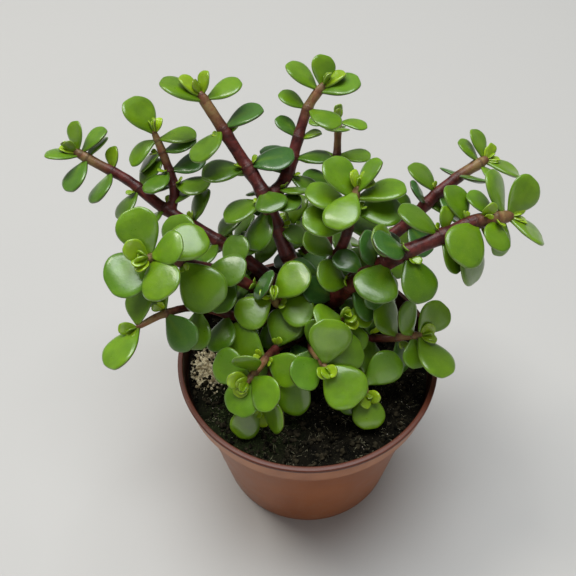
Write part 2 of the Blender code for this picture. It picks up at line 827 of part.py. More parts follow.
class Crown:
    """What is already placed: the stems' points, and the leaves in the order in which they are placed."""

    def __init__(self):
        self.leaves = []
        self.stem_points = np.zeros((0, 3))
        self.stem_radii = np.zeros(0)
        self.stem_nodes = []

    def add_stem(self, node, shoot, route, collar):
        """Add a shoot's points. Those along its collar are the trunk's."""
        along = distances_along(route)
        radii = [shoot_radius(shoot, along[-1], distance) for distance in along]
        self.stem_points = np.vstack([self.stem_points, route])
        self.stem_radii = np.concatenate([self.stem_radii, radii])
        self.stem_nodes += ["trunk" if distance < collar else node for distance in along]

    def is_clear(self, leaf):
        """Whether a leaf keeps its gap to the pot, the soil, the stems and the leaves before it."""
        points = sample_points(leaf["root"], leaf["axes"], leaf["length"])
        own_half = half_thickness(leaf["length"], *SAMPLES.T)
        if np.any(points[:, 2] - own_half < height_under(points) + POT_GAP):
            return False
        away = distance_outside(self.stem_points, leaf["root"], leaf["axes"], leaf["length"])
        for number in np.nonzero(away < self.stem_radii + LEAF_GAP)[0]:
            from_foot = np.linalg.norm(self.stem_points[number] - leaf["root"])
            free = leaf["length"] * FREE_FOOT_SHARE + self.stem_radii[number]
            if self.stem_nodes[number] != leaf["node"] or from_foot > free:
                return False
        middle = leaf["root"] + leaf["axes"][0] * leaf["length"] / 2
        for other in self.leaves:
            other_middle = other["root"] + other["axes"][0] * other["length"] / 2
            reach = (leaf["length"] + other["length"]) * LEAF_REACH_SHARE
            if np.linalg.norm(middle - other_middle) > reach:
                continue
            gap = TWIN_GAP if leaf["node"] == other["node"] else LEAF_GAP
            away = distance_outside(points, other["root"], other["axes"], other["length"])
            if np.any(away < own_half + gap):
                return False
        return True


def bends():
    """Changes of turn and opening to try, the smallest first."""
    yield 0.0, 0.0
    for size in BEND_STEPS:
        for number in range(BEND_WAYS):
            angle = math.tau * number / BEND_WAYS
            yield size * math.cos(angle), size * math.sin(angle)


def whole_pair(pair):
    """A joint's two leaves. The second is like the first and opposite to it where it isn't given."""
    if len(pair) == 2:
        return pair
    length, turn, opening = pair[0]
    return [pair[0], (length, turn + 180, opening)]


def place_leaf(crown, node, route, radius, distance, length, turn, opening):
    """Set one leaf on its joint, bent or made smaller until it is clear of what is placed already."""
    direction = direction_at(route, distance)
    centre = points_at(route, [distance])[0]
    for shrink in SHRINK_STEPS:
        for more_turn, more_opening in bends():
            axes = leaf_axes(direction, turn + more_turn, opening + more_opening)
            outward = axes[0] - direction * (axes[0] @ direction)
            root = centre + outward * radius * LEAF_ROOT_SHARE
            leaf = {"node": node, "root": root, "axes": axes, "length": length * shrink}
            if crown.is_clear(leaf):
                crown.leaves.append(leaf)
                return


def grow_crown():
    """All leaves of all shoots, each clear of the others."""
    chance = random.Random(LEAF_SEED)
    crown = Crown()
    crown.add_stem("trunk", {**TRUNK, "joints": []}, smooth_route(TRUNK["route"]), 0.0)
    for name, shoots in LEAFY_STEMS.items():
        for number, (shoot, route) in enumerate(zip(shoots, shoot_routes(shoots))):
            crown.add_stem(name, shoot, route, COLLAR_LENGTH + COLLAR_GAP if number == 0 else 0.0)
    for name, shoots in LEAFY_STEMS.items():
        for shoot, route in zip(shoots, shoot_routes(shoots)):
            total = distances_along(route)[-1]
            wanted = []
            for from_tip, *pair in shoot["joints"]:
                wanted += [(total - from_tip, *leaf) for leaf in whole_pair(pair)]
            for distance, length, turn, opening in sorted(wanted, key=lambda leaf: -leaf[1]):
                radius = shoot_radius(shoot, total, distance)
                turn += chance.uniform(-LEAF_UNEVENNESS, LEAF_UNEVENNESS)
                opening += chance.uniform(-LEAF_UNEVENNESS, LEAF_UNEVENNESS)
                place_leaf(crown, name, route, radius, distance, length, turn, opening)
    return crown


def make_leafy_stem(name, shoots, crown, bark, green):
    """One grown body: the main shoot, its side shoots and every leaf on them, joined by one union."""
    main, *side_routes = shoot_routes(shoots)
    stem = make_shoot(name, shoots[0], main, COLLAR_LENGTH + COLLAR_GAP, bark)
    parts = []
    for shoot, route in zip(shoots[1:], side_routes):
        parts.append(make_shoot(f"{name}_side", shoot, route, 0.0, bark))
    for leaf in crown.leaves:
        if leaf["node"] != name:
            continue
        blade = new_object(f"{name}_leaf", leaf_mesh(f"{name}_leaf", leaf["length"], green))
        turned = Matrix(leaf["axes"].T.tolist()).to_4x4()
        blade.matrix_world = Matrix.Translation(Vector(leaf["root"]) * MM) @ turned
        parts.append(blade)
    apply_boolean(stem, "UNION", parts)
    shade(stem)
    return stem


def build():
    clear_scene()
    terracotta = new_material("terracotta_plastic", (0.30, 0.12, 0.075), 0.38)
    peat = new_material("peat", (0.02, 0.014, 0.01), 0.95)
    bark = new_material("bark", (0.10, 0.03, 0.025), 0.6)
    green = new_material("leaf_green", (0.12, 0.30, 0.03), 0.35)
    make_pot(terracotta)
    make_soil(peat)
    make_trunk(bark)
    crown = grow_crown()
    for name, shoots in LEAFY_STEMS.items():
        make_leafy_stem(name, shoots, crown, bark, green)


build()
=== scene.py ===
# Potted elephant bush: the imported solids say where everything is, and this script dresses them.
# It makes a smooth pot, crumbly soil with grit, bark that runs through the forks, and fleshy leaves.
import math
import random

import bpy
import numpy as np
from mathutils import Matrix, Vector, noise
from mathutils.bvhtree import BVHTree


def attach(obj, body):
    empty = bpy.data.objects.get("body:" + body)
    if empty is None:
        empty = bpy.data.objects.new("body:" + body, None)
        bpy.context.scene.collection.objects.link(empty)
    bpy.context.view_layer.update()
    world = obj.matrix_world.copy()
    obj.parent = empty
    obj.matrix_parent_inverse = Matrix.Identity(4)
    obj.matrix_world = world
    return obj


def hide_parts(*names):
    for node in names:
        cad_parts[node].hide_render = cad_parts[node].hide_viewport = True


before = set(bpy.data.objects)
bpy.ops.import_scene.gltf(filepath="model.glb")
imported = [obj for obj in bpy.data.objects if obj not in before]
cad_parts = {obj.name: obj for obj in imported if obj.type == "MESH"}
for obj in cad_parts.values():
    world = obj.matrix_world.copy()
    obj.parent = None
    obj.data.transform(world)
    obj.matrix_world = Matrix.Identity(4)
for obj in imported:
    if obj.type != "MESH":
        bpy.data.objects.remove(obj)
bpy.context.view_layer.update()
mm = 0.001  # sizes below are in millimetres unless a note says otherwise
print("frame loaded, nodes:", len(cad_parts))


# ways of working

def pick(*things):
    bpy.ops.object.select_all(action="DESELECT")
    for thing in things:
        thing.select_set(True)
    bpy.context.view_layer.objects.active = things[-1]


def openEdit():
    bpy.ops.object.mode_set(mode="EDIT")


def leaveEdit():
    bpy.ops.object.mode_set(mode="OBJECT")


def clearSelection(mesh):
    for group in (mesh.vertices, mesh.edges, mesh.polygons):
        group.foreach_set("select", [False] * len(group))


# selects the edges or faces of a piece whose place passes the test, and leaves it in edit mode
def selectWhere(thing, test, kind):
    leaveEdit()
    pick(thing)
    mesh = thing.data
    clearSelection(mesh)
    if kind == "EDGE":
        for edge in mesh.edges:
            edge.select = all(test(mesh.vertices[end].co) for end in edge.vertices)
    else:
        for face in mesh.polygons:
            face.select = test(face.center)
    openEdit()
    bpy.ops.mesh.select_mode(type=kind)


# the same for corners, which are known by number
def selectCorners(thing, numbers):
    leaveEdit()
    clearSelection(thing.data)
    for number in numbers:
        thing.data.vertices[number].select = True
    openEdit()
    bpy.ops.mesh.select_mode(type="VERT")


def addModifier(thing, kind, **settings):
    pick(thing)
    modifier = thing.modifiers.new(kind.title(), kind)
    for name, value in settings.items():
        setattr(modifier, name, value)
    bpy.ops.object.modifier_apply(modifier=modifier.name)


def settle(thing):
    pick(thing)
    bpy.ops.object.transform_apply(location=True, rotation=True, scale=True)


def joinAll(name, things):
    pick(*things)
    if len(things) > 1:
        bpy.ops.object.join()
    joined = bpy.context.object
    joined.name = name
    settle(joined)
    return joined


# one copy with its own mesh, set down by a matrix
def copyOf(pattern, matrix):
    copy = pattern.copy()
    copy.data = pattern.data.copy()
    copy.data.transform(matrix)
    bpy.context.scene.collection.objects.link(copy)
    return copy


def removePatterns(patterns):
    pick(*patterns)
    bpy.ops.object.delete()


# a flat ring or disc of corners, in edit mode with all of it selected
def startRing(name, sides, radius, height, fill):
    bpy.ops.object.select_all(action="DESELECT")
    bpy.ops.mesh.primitive_circle_add(
        vertices=sides, radius=radius * mm, location=(0, 0, height * mm), fill_type=fill)
    thing = bpy.context.object
    thing.name = name
    settle(thing)
    openEdit()
    bpy.ops.mesh.select_all(action="SELECT")
    return thing


# pulls the selected ring through radii and heights, and leaves the last ring selected
def pullRing(rings):
    for (radius, height), (nextRadius, nextHeight) in zip(rings, rings[1:]):
        lift = (0, 0, (nextHeight - height) * mm)
        bpy.ops.mesh.extrude_edges_move(TRANSFORM_OT_translate={"value": lift})
        widen = nextRadius / radius
        bpy.ops.transform.resize(value=(widen, widen, 1), center_override=(0, 0, nextHeight * mm))


def faceOutwards():
    bpy.ops.mesh.select_all(action="SELECT")
    bpy.ops.mesh.normals_make_consistent(inside=False)


def dress(thing, material, slotName, *nodes):
    thing.data.materials.clear()
    thing.data.materials.append(material)
    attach(thing, "root")
    if nodes:
        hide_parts(*nodes)


# marks on a piece's corners, for its finish to read
def addMarks(thing, name, marks):
    thing.data.attributes.new(name, "FLOAT_COLOR", "POINT").data.foreach_set("color", marks.ravel())


# camera and studio

studio = {
    "aim": (-6.95, 34.48, 76),
    "distance": 267.6,
    "elevation": 47.61,  # degrees above level
    "roll": -1.75,
    "lens": 37.5,
    "sensor": 36,
    "sky": (0.95, 0.97, 1.0),
    "skyStrength": 0.17,
    "lights": [  # name, place in metres, size, power and colour
        ("keyFromBackLeft", (-1.25, 0.80, 2.13), 0.80, 22.0, (1.0, 0.97, 0.91)),
        ("panelOverhead", (0.00, 0.45, 2.30), 1.70, 50.0, (0.93, 0.97, 1.0)),
        ("panelInFront", (0.50, -2.20, 0.90), 1.60, 7.0, (1.0, 0.99, 0.96)),
    ],
    "lightsAim": (0, 0.02, 0.08),  # metres
    "floorSize": 6.0,  # metres
    "floorColour": (0.54, 0.526, 0.502),
    "floorShade": 0.93,  # the darker of its two tones, as a share of its colour
}


def addCamera():
    bpy.ops.object.camera_add()
    camera = bpy.context.object
    camera.name = "photoCamera"
    camera.data.lens = studio["lens"]
    camera.data.sensor_width = studio["sensor"]
    camera.data.clip_start = 0.01
    lean = math.radians(studio["elevation"])
    ahead = Vector((0, math.cos(lean), -math.sin(lean)))
    place = (Vector(studio["aim"]) - studio["distance"] * ahead) * mm
    tilt = Matrix.Rotation(math.pi / 2 - lean, 4, "X") @ Matrix.Rotation(math.radians(studio["roll"]), 4, "Z")
    camera.matrix_world = Matrix.Translation(place) @ tilt
    bpy.context.scene.camera = camera


def addSoftbox(name, place, size, power, colour):
    bpy.ops.object.light_add(type="AREA", location=place)
    light = bpy.context.object
    light.name = name
    light.data.shape = "DISK"
    light.data.size = size
    light.data.energy = power
    light.data.color = colour
    toObject = Vector(studio["lightsAim"]) - Vector(place)
    light.rotation_euler = toObject.to_track_quat("-Z", "Y").to_euler()


def addStudio():
    world = bpy.data.worlds.new("studioSky")
    world.use_nodes = True
    background = world.node_tree.nodes["Background"]
    background.inputs["Color"].default_value = (*studio["sky"], 1)
    background.inputs["Strength"].default_value = studio["skyStrength"]
    bpy.context.scene.world = world
    for softbox in studio["lights"]:
        addSoftbox(*softbox)
    bpy.context.scene.view_settings.view_transform = "Standard"


# ways of making a finish

def noiseFrom(tree, where, scale, detail, roughness=0.55, distortion=0.0):
    node = tree.nodes.new("ShaderNodeTexNoise")
    tree.links.new(where, node.inputs["Vector"])
    node.inputs["Scale"].default_value = scale
    node.inputs["Detail"].default_value = detail
    node.inputs["Roughness"].default_value = roughness
    node.inputs["Distortion"].default_value = distortion
    return node.outputs["Fac"]


# how far it is to the middle of the nearest cell
def cellsFrom(tree, where, scale):
    node = tree.nodes.new("ShaderNodeTexVoronoi")
    tree.links.new(where, node.inputs["Vector"])
    node.inputs["Scale"].default_value = scale
    return node.outputs["Distance"]


def rampFrom(tree, value, stops):
    node = tree.nodes.new("ShaderNodeValToRGB")
    tree.links.new(value, node.inputs["Fac"])
    places = node.color_ramp.elements
    while len(places) < len(stops):
        places.new(0.5)
    for place, (position, colour) in zip(places, stops):
        place.position = position
        place.color = (*colour, 1)
    return node.outputs["Color"]


def feed(tree, socket, value):
    if isinstance(value, bpy.types.NodeSocket):
        tree.links.new(value, socket)
    elif isinstance(value, tuple):
        socket.default_value = (*value, 1)
    else:
        socket.default_value = value


def blended(tree, share, first, second):
    node = tree.nodes.new("ShaderNodeMix")
    node.data_type = "RGBA"
    feed(tree, node.inputs["Factor"], share)
    feed(tree, node.inputs["A"], first)
    feed(tree, node.inputs["B"], second)
    return node.outputs["Result"]


def maths(tree, way, first, second=0.0):
    node = tree.nodes.new("ShaderNodeMath")
    node.operation = way
    feed(tree, node.inputs[0], first)
    feed(tree, node.inputs[1], second)
    return node.outputs["Value"]


# how far a value is from low to high, smooth at both ends, as a share from 0 to 1 or as given
def between(tree, value, low, high, fromShare=0.0, toShare=1.0):
    node = tree.nodes.new("ShaderNodeMapRange")
    node.interpolation_type = "SMOOTHSTEP"
    feed(tree, node.inputs["Value"], value)
    node.inputs["From Min"].default_value = low
    node.inputs["From Max"].default_value = high
    node.inputs["To Min"].default_value = fromShare
    node.inputs["To Max"].default_value = toShare
    return node.outputs["Result"]


def bumpFrom(tree, height, depth, strength, under=None):
    node = tree.nodes.new("ShaderNodeBump")
    node.inputs["Distance"].default_value = depth * mm
    node.inputs["Strength"].default_value = strength
    tree.links.new(height, node.inputs["Height"])
    if under is not None:
        tree.links.new(under, node.inputs["Normal"])
    return node.outputs["Normal"]


# a new material with its own fixed shader values
def newFinish(name, **values):
    material = bpy.data.materials.new(name)
    material.use_nodes = True
    shader = material.node_tree.nodes["Principled BSDF"]
    for socket, value in values.items():
        shader.inputs[socket.replace("_", " ")].default_value = value
    return material.node_tree, material


# joins what a finish has worked out to its shader
def finished(material, colour, roughness, normal=None):
    tree = material.node_tree
    sockets = tree.nodes["Principled BSDF"].inputs
    tree.links.new(colour, sockets["Base Color"])
    tree.links.new(roughness, sockets["Roughness"])
    if normal is not None:
        tree.links.new(normal, sockets["Normal"])
    return material


def objectPlace(tree):
    return tree.nodes.new("ShaderNodeTexCoord").outputs["Object"]


def split(tree, vector):
    node = tree.nodes.new("ShaderNodeSeparateXYZ")
    tree.links.new(vector, node.inputs["Vector"])
    return node.outputs["X"], node.outputs["Y"], node.outputs["Z"]


def marksFrom(tree, name):
    marks = tree.nodes.new("ShaderNodeAttribute")
    marks.attribute_name = name
    node = tree.nodes.new("ShaderNodeSeparateColor")
    tree.links.new(marks.outputs["Color"], node.inputs["Color"])
    return node.outputs["Red"], node.outputs["Green"], node.outputs["Blue"]


def floorFinish():
    tree, material = newFinish("paleFloor")
    cloud = noiseFrom(tree, objectPlace(tree), 3.0, 5.0)
    pale = studio["floorColour"]
    duller = tuple(studio["floorShade"] * part for part in pale)
    return finished(material, blended(tree, cloud, pale, duller), between(tree, cloud, 0.2, 0.8, 0.55, 0.68))


def addFloor():
    bpy.ops.mesh.primitive_plane_add(size=studio["floorSize"], location=(0, 0, 0))
    floor = bpy.context.object
    floor.name = "floor"
    floor.data.materials.append(floorFinish())


addCamera()
addStudio()
addFloor()
print("camera, lights and floor set")


# pot

potShape = {
    "sides": 120,
    "outside": [  # radius and height, from the underside up to the lip
        (39.25, 0.0), (40.3, 1.5), (47.9, 63.0), (48.3, 64.2), (50.9, 65.3), (51.1, 65.9), (51.7, 73.9),
        (52.5, 74.4), (52.5, 76.0),
    ],
    "inside": [(50.4, 76.0), (50.3, 73.1), (49.8, 66.3), (46.6, 64.0), (39.0, 1.6)],
    "bevelled": [(52.5, 76.0), (52.5, 74.4), (50.4, 76.0), (50.9, 65.3)],
    "bevel": 0.42,
    "holes": 8,
    "holeRadius": 3.5,
    "holeCircle": 31.0,
    "cutterSides": 28,
    "cutterDepth": 6.0,
    "cutterHeight": 0.8,
    "colour": (0.275, 0.074, 0.016),
    "worn": (0.335, 0.100, 0.026),
    # painted sheen: the band under the lip is paler and pinker
    "band": (0.495, 0.205, 0.094),
    # painted shade: the lip is coloured darker than the rest of the pot
    "lip": (0.075, 0.014, 0.007),
    "paintedShadeInside": (0.030, 0.012, 0.008),  # painted shade on the inner wall over the soil
    "dust": (0.34, 0.225, 0.150),
}


def onRing(place, ring, slack=0.12):
    return abs(math.hypot(place.x, place.y) / mm - ring[0]) < slack and abs(place.z / mm - ring[1]) < slack


# pulls one ring up the whole profile, then closes the underside and the floor
def modelPot():
    rings = potShape["outside"] + potShape["inside"]
    pot = startRing("smoothPot", potShape["sides"], *rings[0], "NOTHING")
    pullRing(rings)
    bpy.ops.mesh.edge_face_add()
    selectWhere(pot, lambda place: onRing(place, rings[0]), "EDGE")
    bpy.ops.mesh.edge_face_add()
    faceOutwards()
    rounded = potShape["bevelled"]
    selectWhere(pot, lambda place: any(onRing(place, ring) for ring in rounded), "EDGE")
    leaveEdit()
    for edge in pot.data.edges:
        first, second = [pot.data.vertices[end].co for end in edge.vertices]
        if abs(first.z - second.z) > 0.05 * mm:  # only edges that run round the pot are bevelled
            edge.select = False
    openEdit()
    bpy.ops.mesh.bevel(offset=potShape["bevel"] * mm, segments=3, profile=0.5)
    leaveEdit()
    return pot


def drillPot(pot):
    holes = []
    for number in range(potShape["holes"]):
        angle = math.tau * (number + 0.5) / potShape["holes"]
        reach = potShape["holeCircle"] * mm
        bpy.ops.mesh.primitive_cylinder_add(
            vertices=potShape["cutterSides"], radius=potShape["holeRadius"] * mm,
            depth=potShape["cutterDepth"] * mm,
            location=(reach * math.cos(angle), reach * math.sin(angle), potShape["cutterHeight"] * mm))
        holes.append(bpy.context.object)
    drill = joinAll("holeCutters", holes)
    addModifier(pot, "BOOLEAN", operation="DIFFERENCE", object=drill, solver="EXACT")
    removePatterns([drill])
    pick(pot)
    bpy.ops.object.shade_smooth_by_angle(angle=math.radians(35))


def potFinish():
    tree, material = newFinish("terracottaPlastic", Specular_IOR_Level=0.28)
    where = objectPlace(tree)
    x, y, height = split(tree, where)
    squares = maths(tree, "ADD", maths(tree, "POWER", x, 2.0), maths(tree, "POWER", y, 2.0))
    radius = maths(tree, "SQRT", squares)
    cloud = noiseFrom(tree, where, 38.0, 5.0, 0.6)
    grain = noiseFrom(tree, where, 900.0, 3.0, 0.6)
    scuffs = noiseFrom(tree, where, 160.0, 6.0, 0.72, 1.4)
    base = blended(tree, between(tree, cloud, 0.3, 0.7), potShape["colour"], potShape["worn"])
    nearFoot = between(tree, height, 0.0, 0.05, 0.55, 0.0)
    dusty = maths(tree, "MULTIPLY", between(tree, scuffs, 0.5, 0.75), nearFoot)
    base = blended(tree, dusty, base, potShape["dust"])
    # painted sheen on the band under the lip, broken into patches
    onBand = between(tree, height, 64.8 * mm, 67.0 * mm)
    patchySheen = maths(tree, "MULTIPLY", onBand, between(tree, cloud, 0.3, 0.6, 0.25, 0.85))
    base = blended(tree, patchySheen, base, potShape["band"])
    # painted shade on the lip, darker from 74 mm up
    base = blended(tree, between(tree, height, 74.0 * mm, 74.6 * mm, 0.0, 0.92), base, potShape["lip"])
    # painted shade: the inner wall above the soil is darkened
    overSoil = between(tree, height, 65.0 * mm, 66.0 * mm)
    inside = between(tree, radius, 50.45 * mm, 50.7 * mm, 0.94, 0.0)
    base = blended(tree, maths(tree, "MULTIPLY", overSoil, inside), base, potShape["paintedShadeInside"])
    specks = between(tree, cellsFrom(tree, where, 620.0), 0.06, 0.12, 0.5, 0.0)
    base = blended(tree, specks, base, potShape["dust"])
    gloss = between(tree, cloud, 0.2, 0.8, 0.30, 0.44)
    fine = bumpFrom(tree, grain, 0.05, 0.35)
    return finished(material, base, gloss, bumpFrom(tree, cloud, 0.5, 0.25, fine))


pot = modelPot()
drillPot(pot)
dress(pot, potFinish(), "terracotta_plastic", "pot")
print("pot done, faces:", len(pot.data.polygons))


# soil

soilShape = {
    "sides": 168,
    "rings": 30,
    "edge": 49.2,
    "top": 68.5,
    "side": [(49.0, 66.7), (46.1, 64.4), (38.6, 2.0)],  # radius and height, going down
    "hillSize": 9.0,
    "hillHeight": 2.0,
    "lumpSize": 2.6,
    "lumpHeight": 4.4,
    "black": (0.0015, 0.0014, 0.001),
    "brown": (0.012, 0.010, 0.006),
    "thread": (0.120, 0.110, 0.060),
    "speck": (0.26, 0.21, 0.15),
    "green": (0.040, 0.062, 0.018),
    "squashes": (0.55, 0.7, 0.9),  # how flat each pattern of a grain is
    "grainWidths": (0.65, 0.95),
    "grainJitter": 0.12,
    "grainLift": 0.7,
    "fibreRadius": 0.07,
    "fibreBends": ((0.05, 0.06), (0.02, -0.07), (-0.06, 0.02)),  # up and aside, length by length
    "fibreLift": 0.05,
    "tilt": 0.5,
    "clumpSize": 5.0,
    "clumping": 1.6,
    "coverage": 0.5,
    "rimClear": 1.0,
    "trunkPlace": (5.5, 14.5),
    "trunkClear": 4.6,
    "patches": {  # middle and spread
        "grit": ((-40.0, -2.5), (8.0, 8.0)),
        "moss": ((-22.0, -25.0), (13.0, 10.0)),
    },
    "strewn": [  # each finish: its name, its two colours, how fine they change and how rough it is
        {
            "piece": "peatCrumbs", "pattern": "grain", "count": 1700, "sizes": (0.5, 2.6),
            "patch": None, "sunk": 0.2,
            "finish": ("peatCrumb", (0.002, 0.002, 0.001), (0.038, 0.031, 0.018), 420.0, 0.85),
        },
        {
            "piece": "peatFibres", "pattern": "fibre", "count": 2600, "sizes": (0.5, 2.2),
            "patch": None, "sunk": 0.2,
            "finish": ("dryFibre", (0.014, 0.012, 0.007), (0.26, 0.24, 0.15), 300.0, 0.8),
        },
        {
            "piece": "sandyGrit", "pattern": "grain", "count": 1300, "sizes": (0.4, 1.6),
            "patch": "grit", "sunk": 0.0,
            "finish": ("paleGrit", (0.30, 0.24, 0.13), (0.74, 0.66, 0.45), 500.0, 0.7),
        },
        {
            "piece": "paleSpecks", "pattern": "grain", "count": 500, "sizes": (0.15, 0.42),
            "patch": None, "sunk": 0.0,
            "finish": ("paleSpeck", (0.42, 0.36, 0.28), (0.70, 0.65, 0.56), 800.0, 0.7),
        },
        {
            "piece": "mossTufts", "pattern": "fibre", "count": 1300, "sizes": (0.6, 2.2),
            "patch": "moss", "sunk": 0.2,
            "finish": ("mossGreen", (0.020, 0.030, 0.008), (0.140, 0.170, 0.070), 900.0, 0.9),
        },
    ],
    "seed": 11,
}


def modelSoil():
    edge, top = soilShape["edge"], soilShape["top"]
    soil = startRing("looseSoil", soilShape["sides"], edge, top, "NGON")
    step = edge / (soilShape["rings"] + 1)
    for ring in range(soilShape["rings"]):
        bpy.ops.mesh.inset(thickness=step * mm)
    leaveEdit()
    bpy.ops.object.vertex_group_add()
    surface = soil.vertex_groups[0]
    surface.add([corner.index for corner in soil.data.vertices], 1.0, "REPLACE")
    selectWhere(soil, lambda place: math.hypot(place.x, place.y) > (edge - 0.1) * mm, "EDGE")
    pullRing([(edge, top), *soilShape["side"]])
    bpy.ops.mesh.edge_face_add()
    faceOutwards()
    leaveEdit()
    below = [corner.index for corner in soil.data.vertices if corner.co.z < (top - 0.5) * mm]
    surface.remove(below)
    roughen(soil, surface.name, "soilHills", soilShape["hillSize"], soilShape["hillHeight"])
    roughen(soil, surface.name, "soilLumps", soilShape["lumpSize"], soilShape["lumpHeight"])
    pick(soil)
    bpy.ops.object.shade_smooth_by_angle(angle=math.radians(60))
    return soil


def roughen(thing, group, name, size, height):
    texture = bpy.data.textures.new(name, "CLOUDS")
    texture.noise_scale = size * mm
    texture.noise_depth = 3
    addModifier(
        thing, "DISPLACE", texture=texture, texture_coords="LOCAL", direction="Z", mid_level=0.5,
        strength=height * mm, vertex_group=group)


# looks straight down at the soil, once for each place
def surfaceHeights(soil, places):
    tree = BVHTree.FromPolygons(
        [corner.co for corner in soil.data.vertices], [face.vertices for face in soil.data.polygons])
    above = 90 * mm
    return [tree.ray_cast(Vector((x, y, above)), Vector((0, 0, -1)))[0].z for x, y in places]


# a few-faced grain 1 mm across, pushed out of round
def modelGrain(name, chance, squash):
    bpy.ops.object.select_all(action="DESELECT")
    bpy.ops.mesh.primitive_ico_sphere_add(subdivisions=1, radius=0.5 * mm, location=(0, 0, 0))
    grain = bpy.context.object
    grain.name = name
    openEdit()
    bpy.ops.mesh.select_all(action="SELECT")
    bpy.ops.transform.vertex_random(offset=soilShape["grainJitter"] * mm, seed=chance.randrange(1000))
    width = chance.uniform(*soilShape["grainWidths"])
    bpy.ops.transform.resize(value=(1.0, width, squash), center_override=(0, 0, 0))
    leaveEdit()
    return grain


# a bent thread 1 mm long, in four lengths
def modelFibre():
    bpy.ops.object.select_all(action="DESELECT")
    bpy.ops.mesh.primitive_cylinder_add(
        vertices=4, radius=soilShape["fibreRadius"] * mm, depth=mm / 4, location=(0, 0, 0),
        rotation=(0, math.pi / 2, 0))
    fibre = bpy.context.object
    fibre.name = "fibrePattern"
    settle(fibre)
    selectWhere(fibre, lambda place: place.x > 0.1 * mm, "FACE")
    for lift, side in soilShape["fibreBends"]:
        bpy.ops.mesh.extrude_region_move(TRANSFORM_OT_translate={"value": (mm / 4, side * mm, lift * mm)})
    leaveEdit()
    return fibre


# a place on the soil clear of the trunk: in the named patch, or anywhere but mostly where the soil clumps
def spot(chance, patch):
    edge = soilShape["edge"] - soilShape["rimClear"]
    trunkX, trunkY = soilShape["trunkPlace"]
    while True:
        if patch:
            (middleX, middleY), (spreadX, spreadY) = soilShape["patches"][patch]
            x, y = chance.gauss(middleX, spreadX / 2), chance.gauss(middleY, spreadY / 2)
        else:
            x, y = chance.uniform(-edge, edge), chance.uniform(-edge, edge)
        if math.hypot(x, y) > edge or math.hypot(x - trunkX, y - trunkY) < soilShape["trunkClear"]:
            continue
        crowded = noise.noise(Vector((x, y, 0)) / soilShape["clumpSize"])
        if patch or chance.random() < soilShape["coverage"] + soilShape["clumping"] * crowded:
            return x * mm, y * mm


def randomTurn(chance):
    spin = Matrix.Rotation(chance.uniform(0, math.tau), 4, "Z")
    return spin @ Matrix.Rotation(chance.uniform(-soilShape["tilt"], soilShape["tilt"]), 4, "X")


# strews copies of a pattern over the soil and joins them: grains sink in, and stretched fibres lie on top
def strew(job, soil, patterns, chance):
    places = [spot(chance, job["patch"]) for number in range(job["count"])]
    isFibre = job["pattern"] == "fibre"
    copies = []
    for number, ((x, y), height) in enumerate(zip(places, surfaceHeights(soil, places))):
        size = chance.uniform(*job["sizes"])
        scale = Matrix.Diagonal((size, 1, 1, 1)) if isFibre else Matrix.Scale(size, 4)
        lift = soilShape["fibreLift"] if isFibre else (0.5 - job["sunk"]) * size * soilShape["grainLift"]
        matrix = Matrix.Translation((x, y, height + lift * mm)) @ randomTurn(chance) @ scale
        copies.append(copyOf(patterns[number % len(patterns)], matrix))
    joined = joinAll(job["piece"], copies)
    bpy.ops.object.shade_smooth_by_angle(angle=math.radians(50))
    return joined


def soilFinish():
    tree, material = newFinish("darkPeat", Specular_IOR_Level=0.06)
    where = objectPlace(tree)
    clumps = noiseFrom(tree, where, 210.0, 6.0, 0.7, 0.6)
    threads = noiseFrom(tree, where, 900.0, 5.0, 0.75, 2.5)
    base = blended(tree, between(tree, clumps, 0.3, 0.72), soilShape["black"], soilShape["brown"])
    base = blended(tree, between(tree, threads, 0.60, 0.68), base, soilShape["thread"])
    specks = between(tree, cellsFrom(tree, where, 780.0), 0.05, 0.11, 0.8, 0.0)
    base = blended(tree, specks, base, soilShape["speck"])
    toMoss = tree.nodes.new("ShaderNodeVectorMath")
    toMoss.operation = "DISTANCE"
    tree.links.new(where, toMoss.inputs[0])
    toMoss.inputs[1].default_value = Vector((*soilShape["patches"]["moss"][0], soilShape["top"])) * mm
    nearMoss = between(tree, toMoss.outputs["Value"], 8 * mm, 26 * mm, 0.75, 0.0)
    green = maths(tree, "MULTIPLY", nearMoss, between(tree, threads, 0.42, 0.6))
    base = blended(tree, green, base, soilShape["green"])
    dullness = between(tree, threads, 0.2, 0.8, 0.72, 0.95)
    fine = bumpFrom(tree, threads, 0.5, 0.8)
    return finished(material, base, dullness, bumpFrom(tree, clumps, 1.2, 0.6, fine))


# a dull grainy finish in two colours, for what lies on the soil
def grainFinish(name, dark, light, scale, roughness):
    tree, material = newFinish(name, Specular_IOR_Level=0.08)
    where = objectPlace(tree)
    change = noiseFrom(tree, where, scale, 3.0, 0.6)
    fine = noiseFrom(tree, where, 4200.0, 3.0, 0.6)
    base = blended(tree, between(tree, change, 0.36, 0.64), dark, light)
    dullness = between(tree, fine, 0.2, 0.8, roughness - 0.1, roughness + 0.1)
    return finished(material, base, dullness, bumpFrom(tree, fine, 0.12, 0.6))


def addSoil():
    chance = random.Random(soilShape["seed"])
    soil = modelSoil()
    dress(soil, soilFinish(), "peat", "soil")
    grains = []
    for number, squash in enumerate(soilShape["squashes"]):
        grains.append(modelGrain(f"grainPattern{number}", chance, squash))
    patterns = {"grain": grains, "fibre": [modelFibre()]}
    for job in soilShape["strewn"]:
        strewn = strew(job, soil, patterns[job["pattern"]], chance)
        dress(strewn, grainFinish(*job["finish"]), "peat")
    removePatterns([*patterns["grain"], *patterns["fibre"]])


addSoil()
print("soil, crumbs, grit and moss done")


# how the plant grows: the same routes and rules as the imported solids, so that every leaf lands in its place

